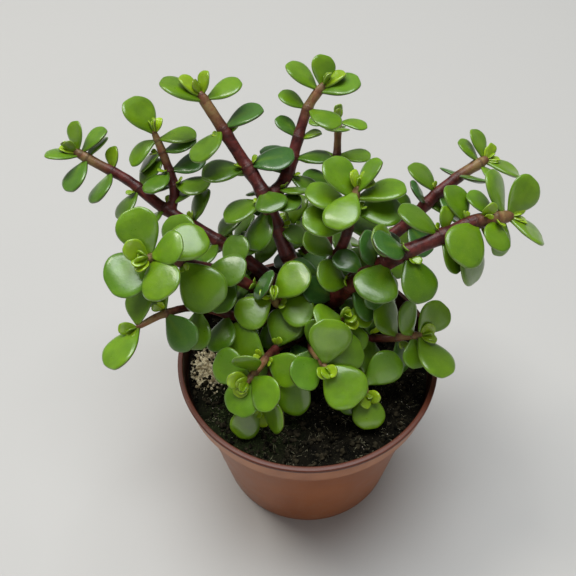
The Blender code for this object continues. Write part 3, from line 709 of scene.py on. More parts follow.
growth = {
    "curveSteps": 24,
    "routeSpacing": 1.0,
    "jointSwell": 1.14,
    "swellReach": 3.0,
    "collar": 8.5,
    "collarGap": 0.3,
    "widthShare": 0.86,
    "skew": 1.3,
    "fullness": 0.8,
    "thicknessShare": 0.15,
    "middle": 0.56,
    "archShare": 0.07,
    "cupShare": 0.05,
    "rootShare": 0.4,
    "reachShare": 0.55,
    "seed": 7,
    "unevenness": 5.0,  # degrees
    "leafGap": 0.5,
    "twinGap": 0.05,
    "potGap": 0.6,
    "rimReach": 2.5,
    "freeFoot": 0.3,
    "narrowest": 0.05,
    "sampledLength": (0.2, 0.99),
    "samplesAlong": 12,
    "samplesAcross": 9,
    "bendSteps": (10, 20, 30, 40),  # degrees
    "bendWays": 8,
    "shrinkSteps": (1.0, 0.88, 0.76),
    "lightPull": 1.5,
    "rim": 52.5,
    "lip": 50.4,
    "potHeight": 76.0,
    "soilHeight": 69.4,
}
towardsView = np.array(Vector((0.0, -0.67, 0.74)).normalized())
towardsLight = np.array(Vector((-0.1, -0.3, 0.95)).normalized())

trunkShape = {
    "route": [
        (5.5, 14.5, 36), (5.5, 14.5, 52), (5.5, 14.5, 69), (4.5, 15, 78), (1.5, 17, 89), (-4, 20.5, 102),
    ],
    "thick": (8.0, 5.4),
    "joints": [],
}

# each stem is a main shoot and its side shoots, which start so far along it
# each joint says how far it is from the tip, then its leaves as length, turn and opening
leafyStems = {
    "leafy_stem_back_left": [{
        "route": [
            (-3.2, 20, 100), (-7, 23.5, 109), (-12, 30, 122), (-16.5, 38, 130), (-22, 45, 136),
            (-31, 54, 148), (-38, 60, 158),
        ],
        "thick": (6.5, 4.2),
        "joints": [
            (1, (6, 20, 20)), (1.5, (10.5, 285, 20), (9, 90, 45)), (3.5, (17.5, 270, 33), (15, 90, 95)),
            (16, (16.5, 90, 95), (17, 300, 110)), (18.5, (7.5, 270, 60)),
            (33, (17.5, 270, 60), (18, 80, 110)), (35.5, (9, 60, 30)), (44, (14.5, 5, 140), (14, 180, 120)),
            (48, (17, 270, 84), (13.5, 60, 116)), (50.5, (17.5, 290, 140), (12, 110, 70)),
            (58, (12, 80, 140), (16, 262, 60)), (70, (14, 90, 88), (17.5, 285, 150)),
        ],
    }, {
        "startsAt": 31,
        "route": [(-6, 45, 130), (-2, 54, 138), (3, 63, 148.5), (9.5, 68, 155.5)],
        "thick": (5.6, 3.6),
        "joints": [
            (1, (6, 0, 20)), (1.5, (12, 270, 25), (10.5, 90, 5)), (3.5, (15.5, 270, 88), (16.5, 90, 36)),
            (11.5, (12, 270, 80), (15.5, 60, 95)), (23, (11, 280, 55), (9, 90, 60)),
            (31, (14.5, 85, 75), (13, 260, 80)), (38, (13, 95, 90), (13, 265, 80)), (46, (13, 60, 90)),
        ],
    }],
    "leafy_stem_left": [{
        "route": [
            (1.5, 17, 89), (-11, 22, 93), (-22, 26, 101), (-36, 34, 107.5), (-56, 44, 115.5), (-70, 52, 124),
            (-82, 57, 129), (-91.5, 60, 134),
        ],
        "thick": (6.2, 3.9),
        "joints": [
            (1, (6, 0, 25)), (1.5, (12, 80, 55), (7.5, 270, 30)), (3, (14, 275, 30), (14, 90, 105)),
            (6, (15.5, 290, 95), (12, 110, 90)), (17, (15.5, 300, 90), (10, 95, 60)),
            (30, (14.5, 280, 90), (14.5, 95, 80)), (43, (14.5, 300, 85), (15.5, 90, 85)),
            (56, (15.5, 260, 80), (15.5, 80, 80)), (69, (15.5, 300, 80), (15.5, 110, 80)),
            (82, (14.5, 260, 80), (15.5, 80, 80)),
        ],
    }, {
        "startsAt": 67,
        "route": [(-52, 50, 121), (-55, 57, 131), (-58.5, 62, 141)],
        "thick": (4.6, 2.9),
        "joints": [
            (1, (6, 60, 20)), (1.2, (16.5, 260, 15), (6.5, 100, 30)), (4, (15.5, 90, 100), (14.5, 270, 110)),
            (9, (14.5, 80, 90), (13, 250, 100)), (17, (15, 95, 90), (14.5, 290, 110)),
            (23, (15.5, 70, 100), (12, 250, 90)),
        ],
    }, {
        "startsAt": 13,
        "route": [(-21, 32, 93), (-31, 44, 98)],
        "thick": (4.0, 3.0),
        "joints": [
            (1, (7.5, 40, 25)), (2, (14.5, 90, 65)), (7, (15.5, 0, 80)), (17, (15.5, 90, 80)),
        ],
    }],
    "leafy_stem_right": [{
        "route": [
            (3.4, 15.6, 83.5), (10.5, 9.5, 95), (16.6, 6, 108), (24, 2, 120), (32, 0, 129), (45, 3.5, 133),
            (57.8, 8, 135.6), (72, 12, 134.4),
        ],
        "thick": (6.8, 4.5),
        "joints": [
            (1, (5.5, 270, 20)), (1.5, (15.5, 285, 45), (15.5, 80, 36)),
            (3.5, (16.5, 275, 100), (13, 95, 100)), (7, (12.5, 255, 125)), (12.5, (7, 300, 60)),
            (15, (19, 55, 135), (15.5, 200, 80)), (18.5, (20.5, 100, 95), (14.5, 265, 80)),
            (26, (9, 280, 50)), (28, (17, 275, 122), (13, 90, 80)), (41, (17.5, 85, 90), (15, 330, 124)),
            (44.5, (13, 300, 80), (11, 160, 70)), (49, (17.5, 20, 92), (14.5, 240, 100)),
            (53, (15, 300, 60), (13, 100, 110)), (61, (12.5, 275, 100)),
            (70, (14.5, 80, 90), (14.5, 280, 80)), (82, (14.5, 100, 90), (14.5, 280, 80)),
        ],
    }],
    "leafy_stem_back_right": [{
        "route": [
            (2.5, 16.5, 86), (16, 22.5, 98), (29, 28, 106), (41, 33, 113.5), (51.5, 38, 123), (63, 44, 129),
            (73, 49, 132),
        ],
        "thick": (5.8, 4.3),
        "joints": [
            (1, (5.5, 270, 30)), (1.5, (12.5, 270, 70), (15, 90, 50)), (4, (11.5, 280, 100), (11, 80, 80)),
            (14, (13, 30, 75), (12, 200, 70)), (24.5, (15, 270, 88), (14.5, 90, 85)), (30, (12, 310, 60)),
            (41, (12, 280, 60), (14.5, 90, 90)), (54, (15.5, 270, 90), (15.5, 90, 90)),
            (66, (15.5, 300, 90), (15.5, 110, 90)), (78, (15.5, 270, 90), (15.5, 90, 90)),
        ],
    }, {
        "startsAt": 18,
        "route": [(29, 22, 95), (43, 29, 99)],
        "thick": (4.0, 3.0),
        "joints": [
            (1, (7.5, 40, 25)), (2, (14.5, 90, 65)), (7, (15.5, 0, 80)), (17, (15.5, 90, 80)),
        ],
    }],
    "leafy_stem_middle": [{
        "route": [(0.8, 17.3, 90.5), (8, 16, 105.5), (14, 15, 121), (17, 19, 134), (18.7, 23, 141)],
        "thick": (5.2, 3.3),
        "joints": [
            (1, (6.5, 100, 20)), (2.5, (14.5, 75, 25), (17.5, 325, 130)), (4.5, (18, 85, 62), (17, 260, 38)),
            (9, (18, 262, 68), (17.5, 85, 80)), (16, (17, 278, 86), (15, 110, 80)),
            (29, (14.5, 290, 72), (14.5, 90, 80)), (43, (14.5, 330, 80), (14.5, 150, 80)),
        ],
    }],
    "leafy_stem_back": [{
        "route": [(3.8, 15.5, 81), (9, 36, 91), (14, 58, 102), (16.5, 76, 117), (17.4, 86, 129)],
        "thick": (5.0, 3.3),
        "joints": [
            (1, (5.5, 0, 20)), (2, (12.5, 90, 85)), (4.5, (12.5, 0, 95), (11, 180, 80)), (16, (14.5, 80, 90)),
            (28, (14.5, 100, 80)), (41, (15.5, 60, 80)), (54, (15.5, 110, 80)), (67, (15.5, 80, 80)),
        ],
    }, {
        "startsAt": 18,
        "route": [(1, 41, 93), (-6, 50, 101)],
        "thick": (3.8, 3.0),
        "joints": [
            (1, (7.5, 30, 25)), (2, (14.5, 90, 65)), (7, (15.5, 10, 80)), (17, (15.5, 80, 80)),
        ],
    }],
    "leafy_stem_front_left": [{
        "route": [
            (4.2, 15, 81), (-6, 11.5, 89.5), (-19, 12.5, 100), (-31, 11, 111), (-43, 7, 121), (-50, 3, 127.5),
            (-54, -2, 133),
        ],
        "thick": (5.2, 3.6),
        "joints": [
            (1, (6.5, 60, 15)), (1.5, (10, 122, 35), (14, 20, 90)), (3, (17.5, 105, 75), (18, 310, 65)),
            (5.5, (19, 30, 120), (19, 220, 55)), (16, (21, 305, 125), (16.5, 95, 80)),
            (28, (15.5, 15, 115), (14.5, 190, 80)), (38, (15.5, 300, 80), (15.5, 100, 80)),
            (50, (15.5, 20, 80), (14.5, 200, 80)),
        ],
    }, {
        "startsAt": 15,
        "route": [(-11, 7, 97), (-13.5, 4, 105)],
        "thick": (4.0, 3.0),
        "joints": [
            (1, (7.5, 60, 30)), (2, (17.5, 90, 75), (15.5, 270, 75)), (7, (15.5, 200, 80), (15.5, 20, 80)),
            (15, (14.5, 110, 80)),
        ],
    }],
    "leafy_stem_low_left": [{
        "route": [
            (5.0, 14.7, 76), (-8, 9, 82), (-24, 4, 92), (-40, 0, 104.5), (-51, -8, 111), (-60, -15, 112),
        ],
        "thick": (4.4, 2.6),
        "joints": [
            (1, (17.5, 270, 20), (14, 90, 125)), (12, (15.5, 285, 100), (13, 100, 80)),
            (26, (15.5, 280, 90), (14.5, 100, 80)), (39, (15.5, 300, 80), (14.5, 100, 80)),
            (52, (14.5, 270, 80), (14.5, 90, 80)),
        ],
    }],
    "leafy_stem_low_front_left": [{
        "route": [(5.5, 14.5, 73), (-3, 2, 81), (-12.5, -8, 88), (-18, -18, 91.5), (-23, -25, 91)],
        "thick": (4.0, 2.8),
        "joints": [
            (1, (6, 220, 20)), (1.5, (7.5, 200, 40), (9, 60, 50)), (3, (15.5, 121, 75), (15.5, 290, 75)),
            (5.5, (17.5, 220, 25), (12.5, 40, 75)), (13, (15.5, 300, 80), (18.5, 85, 95)),
            (21, (13, 230, 95), (16, 50, 115)), (31, (14.5, 290, 80), (14.5, 110, 80)),
        ],
    }, {
        "startsAt": 32,
        "route": [(-14.5, -18, 84), (-18.5, -28.5, 77.5)],
        "thick": (3.4, 2.6),
        "joints": [
            (1, (14, 85, 25), (14, 325, 80)), (6, (17, 295, 105), (13, 100, 85)),
            (15, (15.5, 300, 85), (14.5, 100, 90)),
        ],
    }],
    "leafy_stem_low_front": [{
        "route": [(4.8, 14.8, 78), (3.5, 3, 84), (1.5, -8, 88), (6, -21, 93)],
        "thick": (4.0, 2.6),
        "joints": [
            (1, (6.5, 240, 20)), (2, (17.5, 315, 100), (18.5, 190, 50)), (5, (16.5, 250, 75), (15.5, 75, 80)),
            (14, (14.5, 130, 90), (13, 330, 80)), (23, (14.5, 60, 80), (13, 240, 80)),
        ],
    }, {
        "startsAt": 12,
        "route": [(9, 1, 91), (14, -3, 100)],
        "thick": (3.4, 2.6),
        "joints": [
            (1, (6.5, 90, 30)), (1.5, (13, 330, 70), (11.5, 150, 70)), (5, (18.5, 250, 80), (14.5, 70, 80)),
            (13, (14.5, 280, 80)),
        ],
    }],
    "leafy_stem_low_right": [{
        "route": [(5, 14.6, 77), (12, 7.5, 81.5), (19, 0, 85), (29, -5.5, 89.5), (43, -8.5, 95)],
        "thick": (4.2, 2.8),
        "joints": [
            (1, (6.5, 270, 20)), (1.5, (18.5, 75, 60), (15, 250, 40)), (4, (15.5, 315, 90), (12, 80, 90)),
            (10, (16.5, 300, 105), (14.5, 110, 90)), (20, (14.5, 280, 80), (14.5, 80, 90)),
        ],
    }],
    "leafy_stem_low_front_right": [{
        "route": [(5.4, 14.5, 73), (11.5, 3, 76.5), (17, -9, 80.5), (21.5, -25, 81.5)],
        "thick": (3.8, 2.6),
        "joints": [
            (1, (6.5, 90, 30)), (1.5, (14.5, 155, 40), (14, 30, 65)), (4, (17, 280, 95), (13, 110, 70)),
            (14, (14.5, 60, 80), (13, 240, 80)), (24, (13, 120, 80), (13, 300, 80)),
        ],
    }],
}


def smoothRoute(points):
    points = np.array(points, dtype=float)
    ends = np.vstack([2 * points[0] - points[1], points, 2 * points[-1] - points[-2]])
    steps = np.linspace(0, 1, growth["curveSteps"], endpoint=False)[:, None]
    curve = []
    for before, start, end, after in zip(ends, ends[1:], ends[2:], ends[3:]):
        curve.append(
            start
            + steps * (end - before) / 2
            + steps**2 * (2 * before - 5 * start + 4 * end - after) / 2
            + steps**3 * (3 * start - before - 3 * end + after) / 2
        )
    curve = np.vstack([*curve, points[-1:]])
    total = distancesAlong(curve)[-1]
    return pointsAt(curve, np.linspace(0, total, int(round(total / growth["routeSpacing"])) + 1))


def distancesAlong(route):
    return np.concatenate([[0], np.cumsum(np.linalg.norm(np.diff(route, axis=0), axis=1))])


def pointsAt(route, distances):
    along = distancesAlong(route)
    return np.stack([np.interp(distances, along, route[:, axis]) for axis in range(3)], axis=1)


def unit(vector):
    return vector / np.linalg.norm(vector)


def directionAt(route, distance):
    total = distancesAlong(route)[-1]
    ends = pointsAt(route, [max(distance - 1, 0), min(distance + 1, total)])
    return unit(ends[1] - ends[0])


def shootRoutes(shoots):
    main = smoothRoute(shoots[0]["route"])
    starts = [pointsAt(main, [shoot["startsAt"]])[0] for shoot in shoots[1:]]
    return [main] + [smoothRoute([start, *shoot["route"]]) for start, shoot in zip(starts, shoots[1:])]


def shootRadius(shoot, total, distance):
    start, end = shoot["thick"]
    radius = (start + (end - start) * distance / total) / 2
    for joint in shoot["joints"]:
        swell = max(0.0, 1 - abs(distance - total + joint[0]) / growth["swellReach"])
        radius = max(radius, radius * (1 + (growth["jointSwell"] - 1) * swell))
    return radius


# the shape of a leaf, in shares of its length and its half width
def halfWidthShare(along):
    along = np.clip(along, 0, 1)
    return np.clip(np.sin(math.pi * along ** growth["skew"]), 0, 1) ** growth["fullness"]


def middleHeight(along, across):
    return -growth["archShare"] * along**2 + growth["cupShare"] * across**2 * along


def halfThickness(length, along, across):
    middle = growth["middle"]
    toEnd = np.abs(along - middle) / np.where(along < middle, middle, 1 - middle)
    return length * growth["thicknessShare"] / 2 * np.clip(1 - np.maximum(np.abs(across), toEnd), 0, 1)


# rows for where a leaf points, its side and its face, which is pulled towards the light
def leafAxes(direction, turn, opening):
    front = unit(towardsView - direction * (towardsView @ direction))
    side = np.cross(direction, front)
    turn, opening = math.radians(turn), math.radians(opening)
    outward = math.cos(turn) * front + math.sin(turn) * side
    along = math.cos(opening) * direction + math.sin(opening) * outward
    face = math.sin(opening) * direction - math.cos(opening) * outward
    face = unit(face + growth["lightPull"] * (towardsLight - along * (towardsLight @ along)))
    return np.stack([along, np.cross(face, along), face])


def bladeSamples():
    samples = []
    for along in np.linspace(*growth["sampledLength"], growth["samplesAlong"]):
        for across in np.linspace(-1, 1, growth["samplesAcross"]):
            samples.append((along, across))
    return np.array(samples)


samples = bladeSamples()


def samplePoints(root, axes, length):
    along, across = samples.T
    across = across * halfWidthShare(along)
    flat = [along * length, across * growth["widthShare"] * length / 2, middleHeight(along, across) * length]
    return root + np.stack(flat, axis=1) @ axes


def distanceOutside(points, root, axes, length):
    local = (points - root) @ axes.T
    along = local[:, 0] / length
    half = growth["widthShare"] * length / 2
    width = halfWidthShare(along)
    across = local[:, 1] / half
    beside = np.maximum.reduce([-local[:, 0], local[:, 0] - length, np.abs(local[:, 1]) - width * half])
    share = np.abs(across) / np.maximum(width, growth["narrowest"])
    above = np.abs(local[:, 2] - middleHeight(along, across) * length) - halfThickness(length, along, share)
    return np.maximum(beside, above)


# how high the pot or the soil stands under each point
def heightUnder(points):
    radius = np.hypot(points[:, 0], points[:, 1])
    overPot = np.where(radius > growth["lip"] - growth["rimReach"], growth["potHeight"], growth["soilHeight"])
    return np.where(radius > growth["rim"] + growth["rimReach"], -np.inf, overPot)


def isClear(leaf, placed, stems):
    points = samplePoints(leaf["root"], leaf["axes"], leaf["length"])
    ownHalf = halfThickness(leaf["length"], *samples.T)
    if np.any(points[:, 2] - ownHalf < heightUnder(points) + growth["potGap"]):
        return False
    away = distanceOutside(stems["points"], leaf["root"], leaf["axes"], leaf["length"])
    for number in np.nonzero(away < stems["radii"] + growth["leafGap"])[0]:
        fromFoot = np.linalg.norm(stems["points"][number] - leaf["root"])
        free = leaf["length"] * growth["freeFoot"] + stems["radii"][number]
        if stems["nodes"][number] != leaf["node"] or fromFoot > free:
            return False
    middle = leaf["root"] + leaf["axes"][0] * leaf["length"] / 2
    for other in placed:
        otherMiddle = other["root"] + other["axes"][0] * other["length"] / 2
        reach = (leaf["length"] + other["length"]) * growth["reachShare"]
        if np.linalg.norm(middle - otherMiddle) > reach:
            continue
        gap = growth["twinGap"] if leaf["node"] == other["node"] else growth["leafGap"]
        away = distanceOutside(points, other["root"], other["axes"], other["length"])
        if np.any(away < ownHalf + gap):
            return False
    return True


# what is added to a leaf's turn and opening until it is clear
def bends():
    yield 0.0, 0.0
    for size in growth["bendSteps"]:
        for number in range(growth["bendWays"]):
            angle = math.tau * number / growth["bendWays"]
            yield size * math.cos(angle), size * math.sin(angle)


def placeLeaf(placed, stems, node, route, radius, distance, length, turn, opening):
    direction = directionAt(route, distance)
    centre = pointsAt(route, [distance])[0]
    for shrink in growth["shrinkSteps"]:
        for moreTurn, moreOpening in bends():
            axes = leafAxes(direction, turn + moreTurn, opening + moreOpening)
            outward = axes[0] - direction * (axes[0] @ direction)
            root = centre + outward * radius * growth["rootShare"]
            leaf = {"node": node, "root": root, "axes": axes, "length": length * shrink}
            if isClear(leaf, placed, stems):
                placed.append(leaf)
                return leaf
    return None


# points along every shoot, with the radius there and the node that the wood belongs to
def allStems():
    points, radii, nodes = [], [], []
    jobs = [("trunk", trunkShape, smoothRoute(trunkShape["route"]), 0.0)]
    for name, shoots in leafyStems.items():
        for number, (shoot, route) in enumerate(zip(shoots, shootRoutes(shoots))):
            jobs.append((name, shoot, route, growth["collar"] + growth["collarGap"] if number == 0 else 0.0))
    for name, shoot, route, collar in jobs:
        along = distancesAlong(route)
        points.append(route)
        radii += [shootRadius(shoot, along[-1], distance) for distance in along]
        nodes += ["trunk" if distance < collar else name for distance in along]
    return {"points": np.vstack(points), "radii": np.array(radii), "nodes": nodes}


# a joint with one leaf written down has the same leaf on its other side too
def growLeaves():
    chance = random.Random(growth["seed"])
    placed = []
    stems = allStems()
    for name, shoots in leafyStems.items():
        for shoot, route in zip(shoots, shootRoutes(shoots)):
            total = distancesAlong(route)[-1]
            wanted = []
            for fromTip, *pair in shoot["joints"]:
                if len(pair) == 1:
                    length, turn, opening = pair[0]
                    pair = [pair[0], (length, turn + 180, opening)]
                wanted += [(total - fromTip, *leaf) for leaf in pair]
            for distance, length, turn, opening in sorted(wanted, key=lambda leaf: -leaf[1]):
                radius = shootRadius(shoot, total, distance)
                turn += chance.uniform(-growth["unevenness"], growth["unevenness"])
                opening += chance.uniform(-growth["unevenness"], growth["unevenness"])
                leaf = placeLeaf(placed, stems, name, route, radius, distance, length, turn, opening)
                if leaf:
                    leaf["fromTip"] = total - distance
    return placed


leaves = growLeaves()
print("leaves grown:", len(leaves))


# bark

barkShape = {
    "aroundSteps": 5,
    "collarSteps": 10,
    "voxel": 0.46,
    "smoothing": 0.5,
    "smoothSteps": 5,
    "sunk": 1.6,  # how far a leafy stem's bark starts inside the trunk's
    "wobble": 0.035,
    "waves": (0.9, 0.37),
    "youngReach": 20.0,
    "scarReach": 1.3,
    "tipTaper": 5.0,
    "tipShare": 0.55,
    "oldWood": ((0.038, 0.006, 0.006), (0.150, 0.026, 0.020)),
    "youngWood": ((0.27, 0.105, 0.050), (0.31, 0.215, 0.080)),
    "fleck": (0.24, 0.110, 0.080),
    "scar": (0.045, 0.018, 0.014),
    "seed": 5,
}


# a curve with a round bevel along a route, turned into a mesh
def modelShoot(name, route, distances, radii):
    bpy.ops.object.select_all(action="DESELECT")
    bpy.ops.curve.primitive_bezier_curve_add(location=(0, 0, 0))
    guide = bpy.context.object
    guide.name = name
    curve = guide.data
    curve.splines.clear()
    curve.dimensions = "3D"
    curve.bevel_depth = mm  # so that a point's radius is in millimetres
    curve.bevel_resolution = barkShape["aroundSteps"]
    curve.use_fill_caps = True
    line = curve.splines.new("POLY")
    line.points.add(len(distances) - 1)
    for point, place, radius in zip(line.points, pointsAt(route, distances), radii):
        point.co = (*(place * mm), 1)
        point.radius = radius
    pick(guide)
    bpy.ops.object.convert(target="MESH")
    return bpy.context.object


# radii along a shoot, a little uneven, with a rounded end
def barkRadii(shoot, total, distances, chance):
    phase = chance.uniform(0, 20)
    quick, slow = barkShape["waves"]
    radii = []
    for distance in distances:
        wave = math.sin(distance * quick + phase) * math.sin(distance * slow + 2 * phase)
        uneven = 1 + barkShape["wobble"] * wave
        tip = np.interp(total - distance, [0, barkShape["tipTaper"]], [barkShape["tipShare"], 1.0])
        radii.append(shootRadius(shoot, total, distance) * uneven * tip)
    return radii


def growTogether(name, pieces):
    bark = joinAll(name, pieces)
    addModifier(bark, "REMESH", mode="VOXEL", voxel_size=barkShape["voxel"] * mm, use_smooth_shade=True)
    addModifier(bark, "SMOOTH", factor=barkShape["smoothing"], iterations=barkShape["smoothSteps"])
    pick(bark)
    bpy.ops.object.shade_smooth()
    return bark


# marks for the finish: red is how young the wood is, green is how near a joint lies
def markBark(bark, shoots, routes):
    places = np.zeros(len(bark.data.vertices) * 3)
    bark.data.vertices.foreach_get("co", places)
    places = places.reshape(-1, 3) / mm
    nearest = np.full(len(places), np.inf)
    marks = np.zeros((len(places), 4))
    marks[:, 3] = 1.0
    for shoot, route in zip(shoots, routes):
        along = distancesAlong(route)
        away = np.linalg.norm(places[:, None, :] - route[None, :, :], axis=2)
        fromTip = along[-1] - along[away.argmin(axis=1)]
        distance = away.min(axis=1)
        joints = np.array([joint[0] for joint in shoot["joints"]] or [np.inf])
        toJoint = np.abs(fromTip[:, None] - joints[None, :]).min(axis=1)
        better = distance < nearest
        nearest[better] = distance[better]
        marks[better, 0] = np.clip(1 - fromTip / barkShape["youngReach"], 0, 1)[better]
        marks[better, 1] = np.clip(1 - toJoint / barkShape["scarReach"], 0, 1)[better]
    addMarks(bark, "barkMarks", marks)


def barkFinish():
    tree, material = newFinish("redBrownBark", Specular_IOR_Level=0.32)
    where = objectPlace(tree)
    young, scar = marksFrom(tree, "barkMarks")[:2]
    blotches = noiseFrom(tree, where, 260.0, 5.0, 0.62, 0.5)
    fine = noiseFrom(tree, where, 1700.0, 4.0, 0.65)
    old = blended(tree, between(tree, blotches, 0.32, 0.7), *barkShape["oldWood"])
    tan = blended(tree, between(tree, blotches, 0.35, 0.65), *barkShape["youngWood"])
    base = blended(tree, between(tree, young, 0.10, 0.75), old, tan)
    base = blended(tree, between(tree, fine, 0.60, 0.74, 0.0, 0.45), base, barkShape["fleck"])
    base = blended(tree, maths(tree, "MULTIPLY", scar, 0.55), base, barkShape["scar"])
    gloss = between(tree, blotches, 0.2, 0.8, 0.30, 0.50)
    rough = bumpFrom(tree, fine, 0.16, 0.55)
    ringed = bumpFrom(tree, scar, 0.25, 0.6, rough)
    return finished(material, base, gloss, bumpFrom(tree, blotches, 0.45, 0.5, ringed))


bark = barkFinish()


def addTrunk():
    chance = random.Random(barkShape["seed"])
    route = smoothRoute(trunkShape["route"])
    along = distancesAlong(route)
    radii = np.interp(along, [0, along[-1]], [thick / 2 for thick in trunkShape["thick"]])
    pieces = [modelShoot("trunkCore", route, along, radii)]
    for shoots in leafyStems.values():
        branch = smoothRoute(shoots[0]["route"])
        length = distancesAlong(branch)[-1]
        places = np.linspace(0, growth["collar"], barkShape["collarSteps"])
        pieces.append(modelShoot("collar", branch, places, barkRadii(shoots[0], length, places, chance)))
    trunk = growTogether("trunkBark", pieces)
    markBark(trunk, [trunkShape], [route])
    dress(trunk, bark, "bark", "trunk")


def addStemBark():
    chance = random.Random(barkShape["seed"])
    for name, shoots in leafyStems.items():
        routes = shootRoutes(shoots)
        pieces = []
        for number, (shoot, route) in enumerate(zip(shoots, routes)):
            total = distancesAlong(route)[-1]
            start = growth["collar"] + growth["collarGap"] - barkShape["sunk"] if number == 0 else 0.0
            places = np.linspace(start, total, int(total - start) + 1)
            pieces.append(modelShoot("shoot", route, places, barkRadii(shoot, total, places, chance)))
        stem = growTogether(f"bark_{name}", pieces)
        markBark(stem, shoots, routes)
        dress(stem, bark, "leaf_green", name)


addTrunk()
addStemBark()
print("bark done")


# leaves

leafShape = {
    "length": 15.0,  # every pattern is this long, and each copy is scaled
    "outline": [  # how far along, and how wide there, from the foot to the tip
        (0.0, 0.11), (0.07, 0.23), (0.17, 0.46), (0.30, 0.73), (0.44, 0.93), (0.58, 1.03), (0.71, 1.02),
        (0.83, 0.87), (0.92, 0.64), (0.975, 0.38),
    ],
    "rows": 4,
    "budOutline": [(0.0, 0.22), (0.30, 0.86), (0.68, 1.16), (0.98, 0.72)],  # coarse: buds are copied most
    "budRows": 2,
    "drawnBack": 0.02,
    "upperFrom": -0.15,
    "patterns": [  # name, then width, thickness, arch, cup, lean aside and curl, as shares of the length
        ("broad", 0.90, 0.068, 0.07, 0.05, 0.02, 0.0),
        ("round", 0.94, 0.072, 0.05, 0.08, -0.03, 0.02),
        ("long", 0.76, 0.070, 0.09, 0.05, 0.03, 0.0),
        ("flat", 0.87, 0.062, 0.03, 0.02, -0.02, -0.02),
        ("dished", 0.85, 0.068, 0.06, 0.12, 0.01, 0.03),
        ("wavy", 0.83, 0.066, 0.08, 0.04, -0.04, 0.05),
        ("spoon", 0.76, 0.100, 0.02, 0.16, 0.0, 0.0),
        ("bud", 0.70, 0.120, -0.04, 0.14, 0.02, 0.0),
    ],
    "plump": 0.034,
    "plumpEnds": (0.2, 0.86),
    "plumpHalf": 0.26,
    "ridge": 0.014,
    "ridgeHalf": 0.08,
    "smallBelow": 11.0,  # small leaves look like spoons and are paler
    "youngReach": 30.0,
    "youngShares": (0.55, 0.5),  # what being near the tip and being small count for
    "twist": 0.12,  # radians, and so is the buds'
    "budShare": 0.38,
    "budsFrom": 6,
    "budLength": (2.6, 4.6),
    "budPlace": (1.2, 0.7),  # along the leaf from its foot, and above it
    "budAim": (0.75, 0.55, 0.55),  # along the leaf, upwards and aside
    "budTwist": 0.2,
    "tipPairs": ((32, 6.0), (17, 4.2)),  # how far each pair opens, and its length
    "tipSunk": 0.4,
    "tipUneven": 4,  # degrees
    "tipSizes": (0.85, 1.15),
    "newness": (0.75, 1.0),
    "ages": [(0.0, (0.042, 0.122, 0.002)), (0.45, (0.130, 0.285, 0.003)), (1.0, (0.450, 0.650, 0.012))],
    "warm": (0.160, 0.290, 0.003),
    # partly the grown leaves' own bluish tone and partly painted sky reflection
    "bluishToneAndSheen": (0.042, 0.138, 0.036),
    "deep": (0.032, 0.105, 0.008),
    "pale": (0.180, 0.320, 0.030),
    "speckle": (0.260, 0.370, 0.060),
    "crease": (0.160, 0.270, 0.012),
    "under": (0.050, 0.085, 0.012),
    # the leaf's own red rim, and a pale rim that is painted glow of light through the thin edge; tone picks
    # one
    "redRimAndPaintedGlow": ((0.085, 0.028, 0.018), (0.290, 0.400, 0.110)),
    "foot": (0.120, 0.085, 0.030),
    "seed": 19,
}


# shapes a flat grid line by line from the foot to the tip, then makes it thick and round
def modelLeaf(name, width, thick, arch, cup, lean, curl):
    length = leafShape["length"] * mm
    isBud = name == "bud"
    outline = leafShape["budOutline"] if isBud else leafShape["outline"]
    rows = leafShape["budRows"] if isBud else leafShape["rows"]
    bpy.ops.object.select_all(action="DESELECT")
    bpy.ops.mesh.primitive_grid_add(
        x_subdivisions=len(outline) - 1, y_subdivisions=rows, size=length, location=(length / 2, 0, 0))
    leaf = bpy.context.object
    leaf.name = f"{name}Leaf"
    settle(leaf)
    grid = {}
    for corner in leaf.data.vertices:
        place = (round(corner.co.x / length, 4), round(corner.co.y / length, 4))
        grid.setdefault(place, []).append(corner.index)
    lines = sorted({line for line, side in grid})
    sides = {side for line, side in grid}
    for line, (along, share) in zip(lines, outline):
        widen = share * width
        selectCorners(leaf, [index for (x, y), found in grid.items() if x == line for index in found])
        bpy.ops.transform.resize(value=(1, widen, 1), center_override=(line * length, 0, 0))
        aside = lean * math.sin(math.pi * along)
        drop = -arch * along**2 + curl * math.sin(math.tau * along) * 0.5
        bpy.ops.transform.translate(value=((along - line) * length, aside * length, drop * length))
        for side in sides:
            lift = cup * (2 * side) ** 2 * share**2 * along
            if lift:
                selectCorners(leaf, grid[(line, side)])
                back = -leafShape["drawnBack"] * abs(side) * length * along
                bpy.ops.transform.translate(value=(back, 0, lift * length))
    leaveEdit()
    addModifier(leaf, "SOLIDIFY", thickness=thick * length, offset=0.0, use_even_offset=False)
    plumpLeaf(leaf, length)
    addModifier(leaf, "SUBSURF", levels=1, render_levels=1)
    pick(leaf)
    bpy.ops.object.shade_smooth()
    markUpper(leaf)
    return leaf


# fills out the middle of both faces, most of all along the spine
def plumpLeaf(leaf, length):
    foot, tip = leafShape["plumpEnds"]
    middle = [
        corner for corner in leaf.data.vertices
        if abs(corner.co.y) < leafShape["plumpHalf"] * length and foot * length < corner.co.x < tip * length
    ]
    upper = [corner.index for corner in middle if corner.normal.z > 0]
    lower = [corner.index for corner in middle if corner.normal.z < 0]
    spine = {corner.index for corner in middle if abs(corner.co.y) < leafShape["ridgeHalf"] * length}
    pick(leaf)
    for corners, way in ((upper, 1), (lower, -1)):
        selectCorners(leaf, corners)
        bpy.ops.transform.translate(value=(0, 0, way * leafShape["plump"] * length))
        selectCorners(leaf, [index for index in corners if index in spine])
        bpy.ops.transform.translate(value=(0, 0, way * leafShape["ridge"] * length))
    leaveEdit()


# marks: red is how young it is, green a random tone (it also sets painted sky tint and rim glow), blue is 1
# on the upper face
def markUpper(leaf):
    marks = np.zeros((len(leaf.data.vertices), 4))
    marks[:, 2] = [corner.normal.z > leafShape["upperFrom"] for corner in leaf.data.vertices]
    marks[:, 3] = 1.0
    addMarks(leaf, "leafMarks", marks)


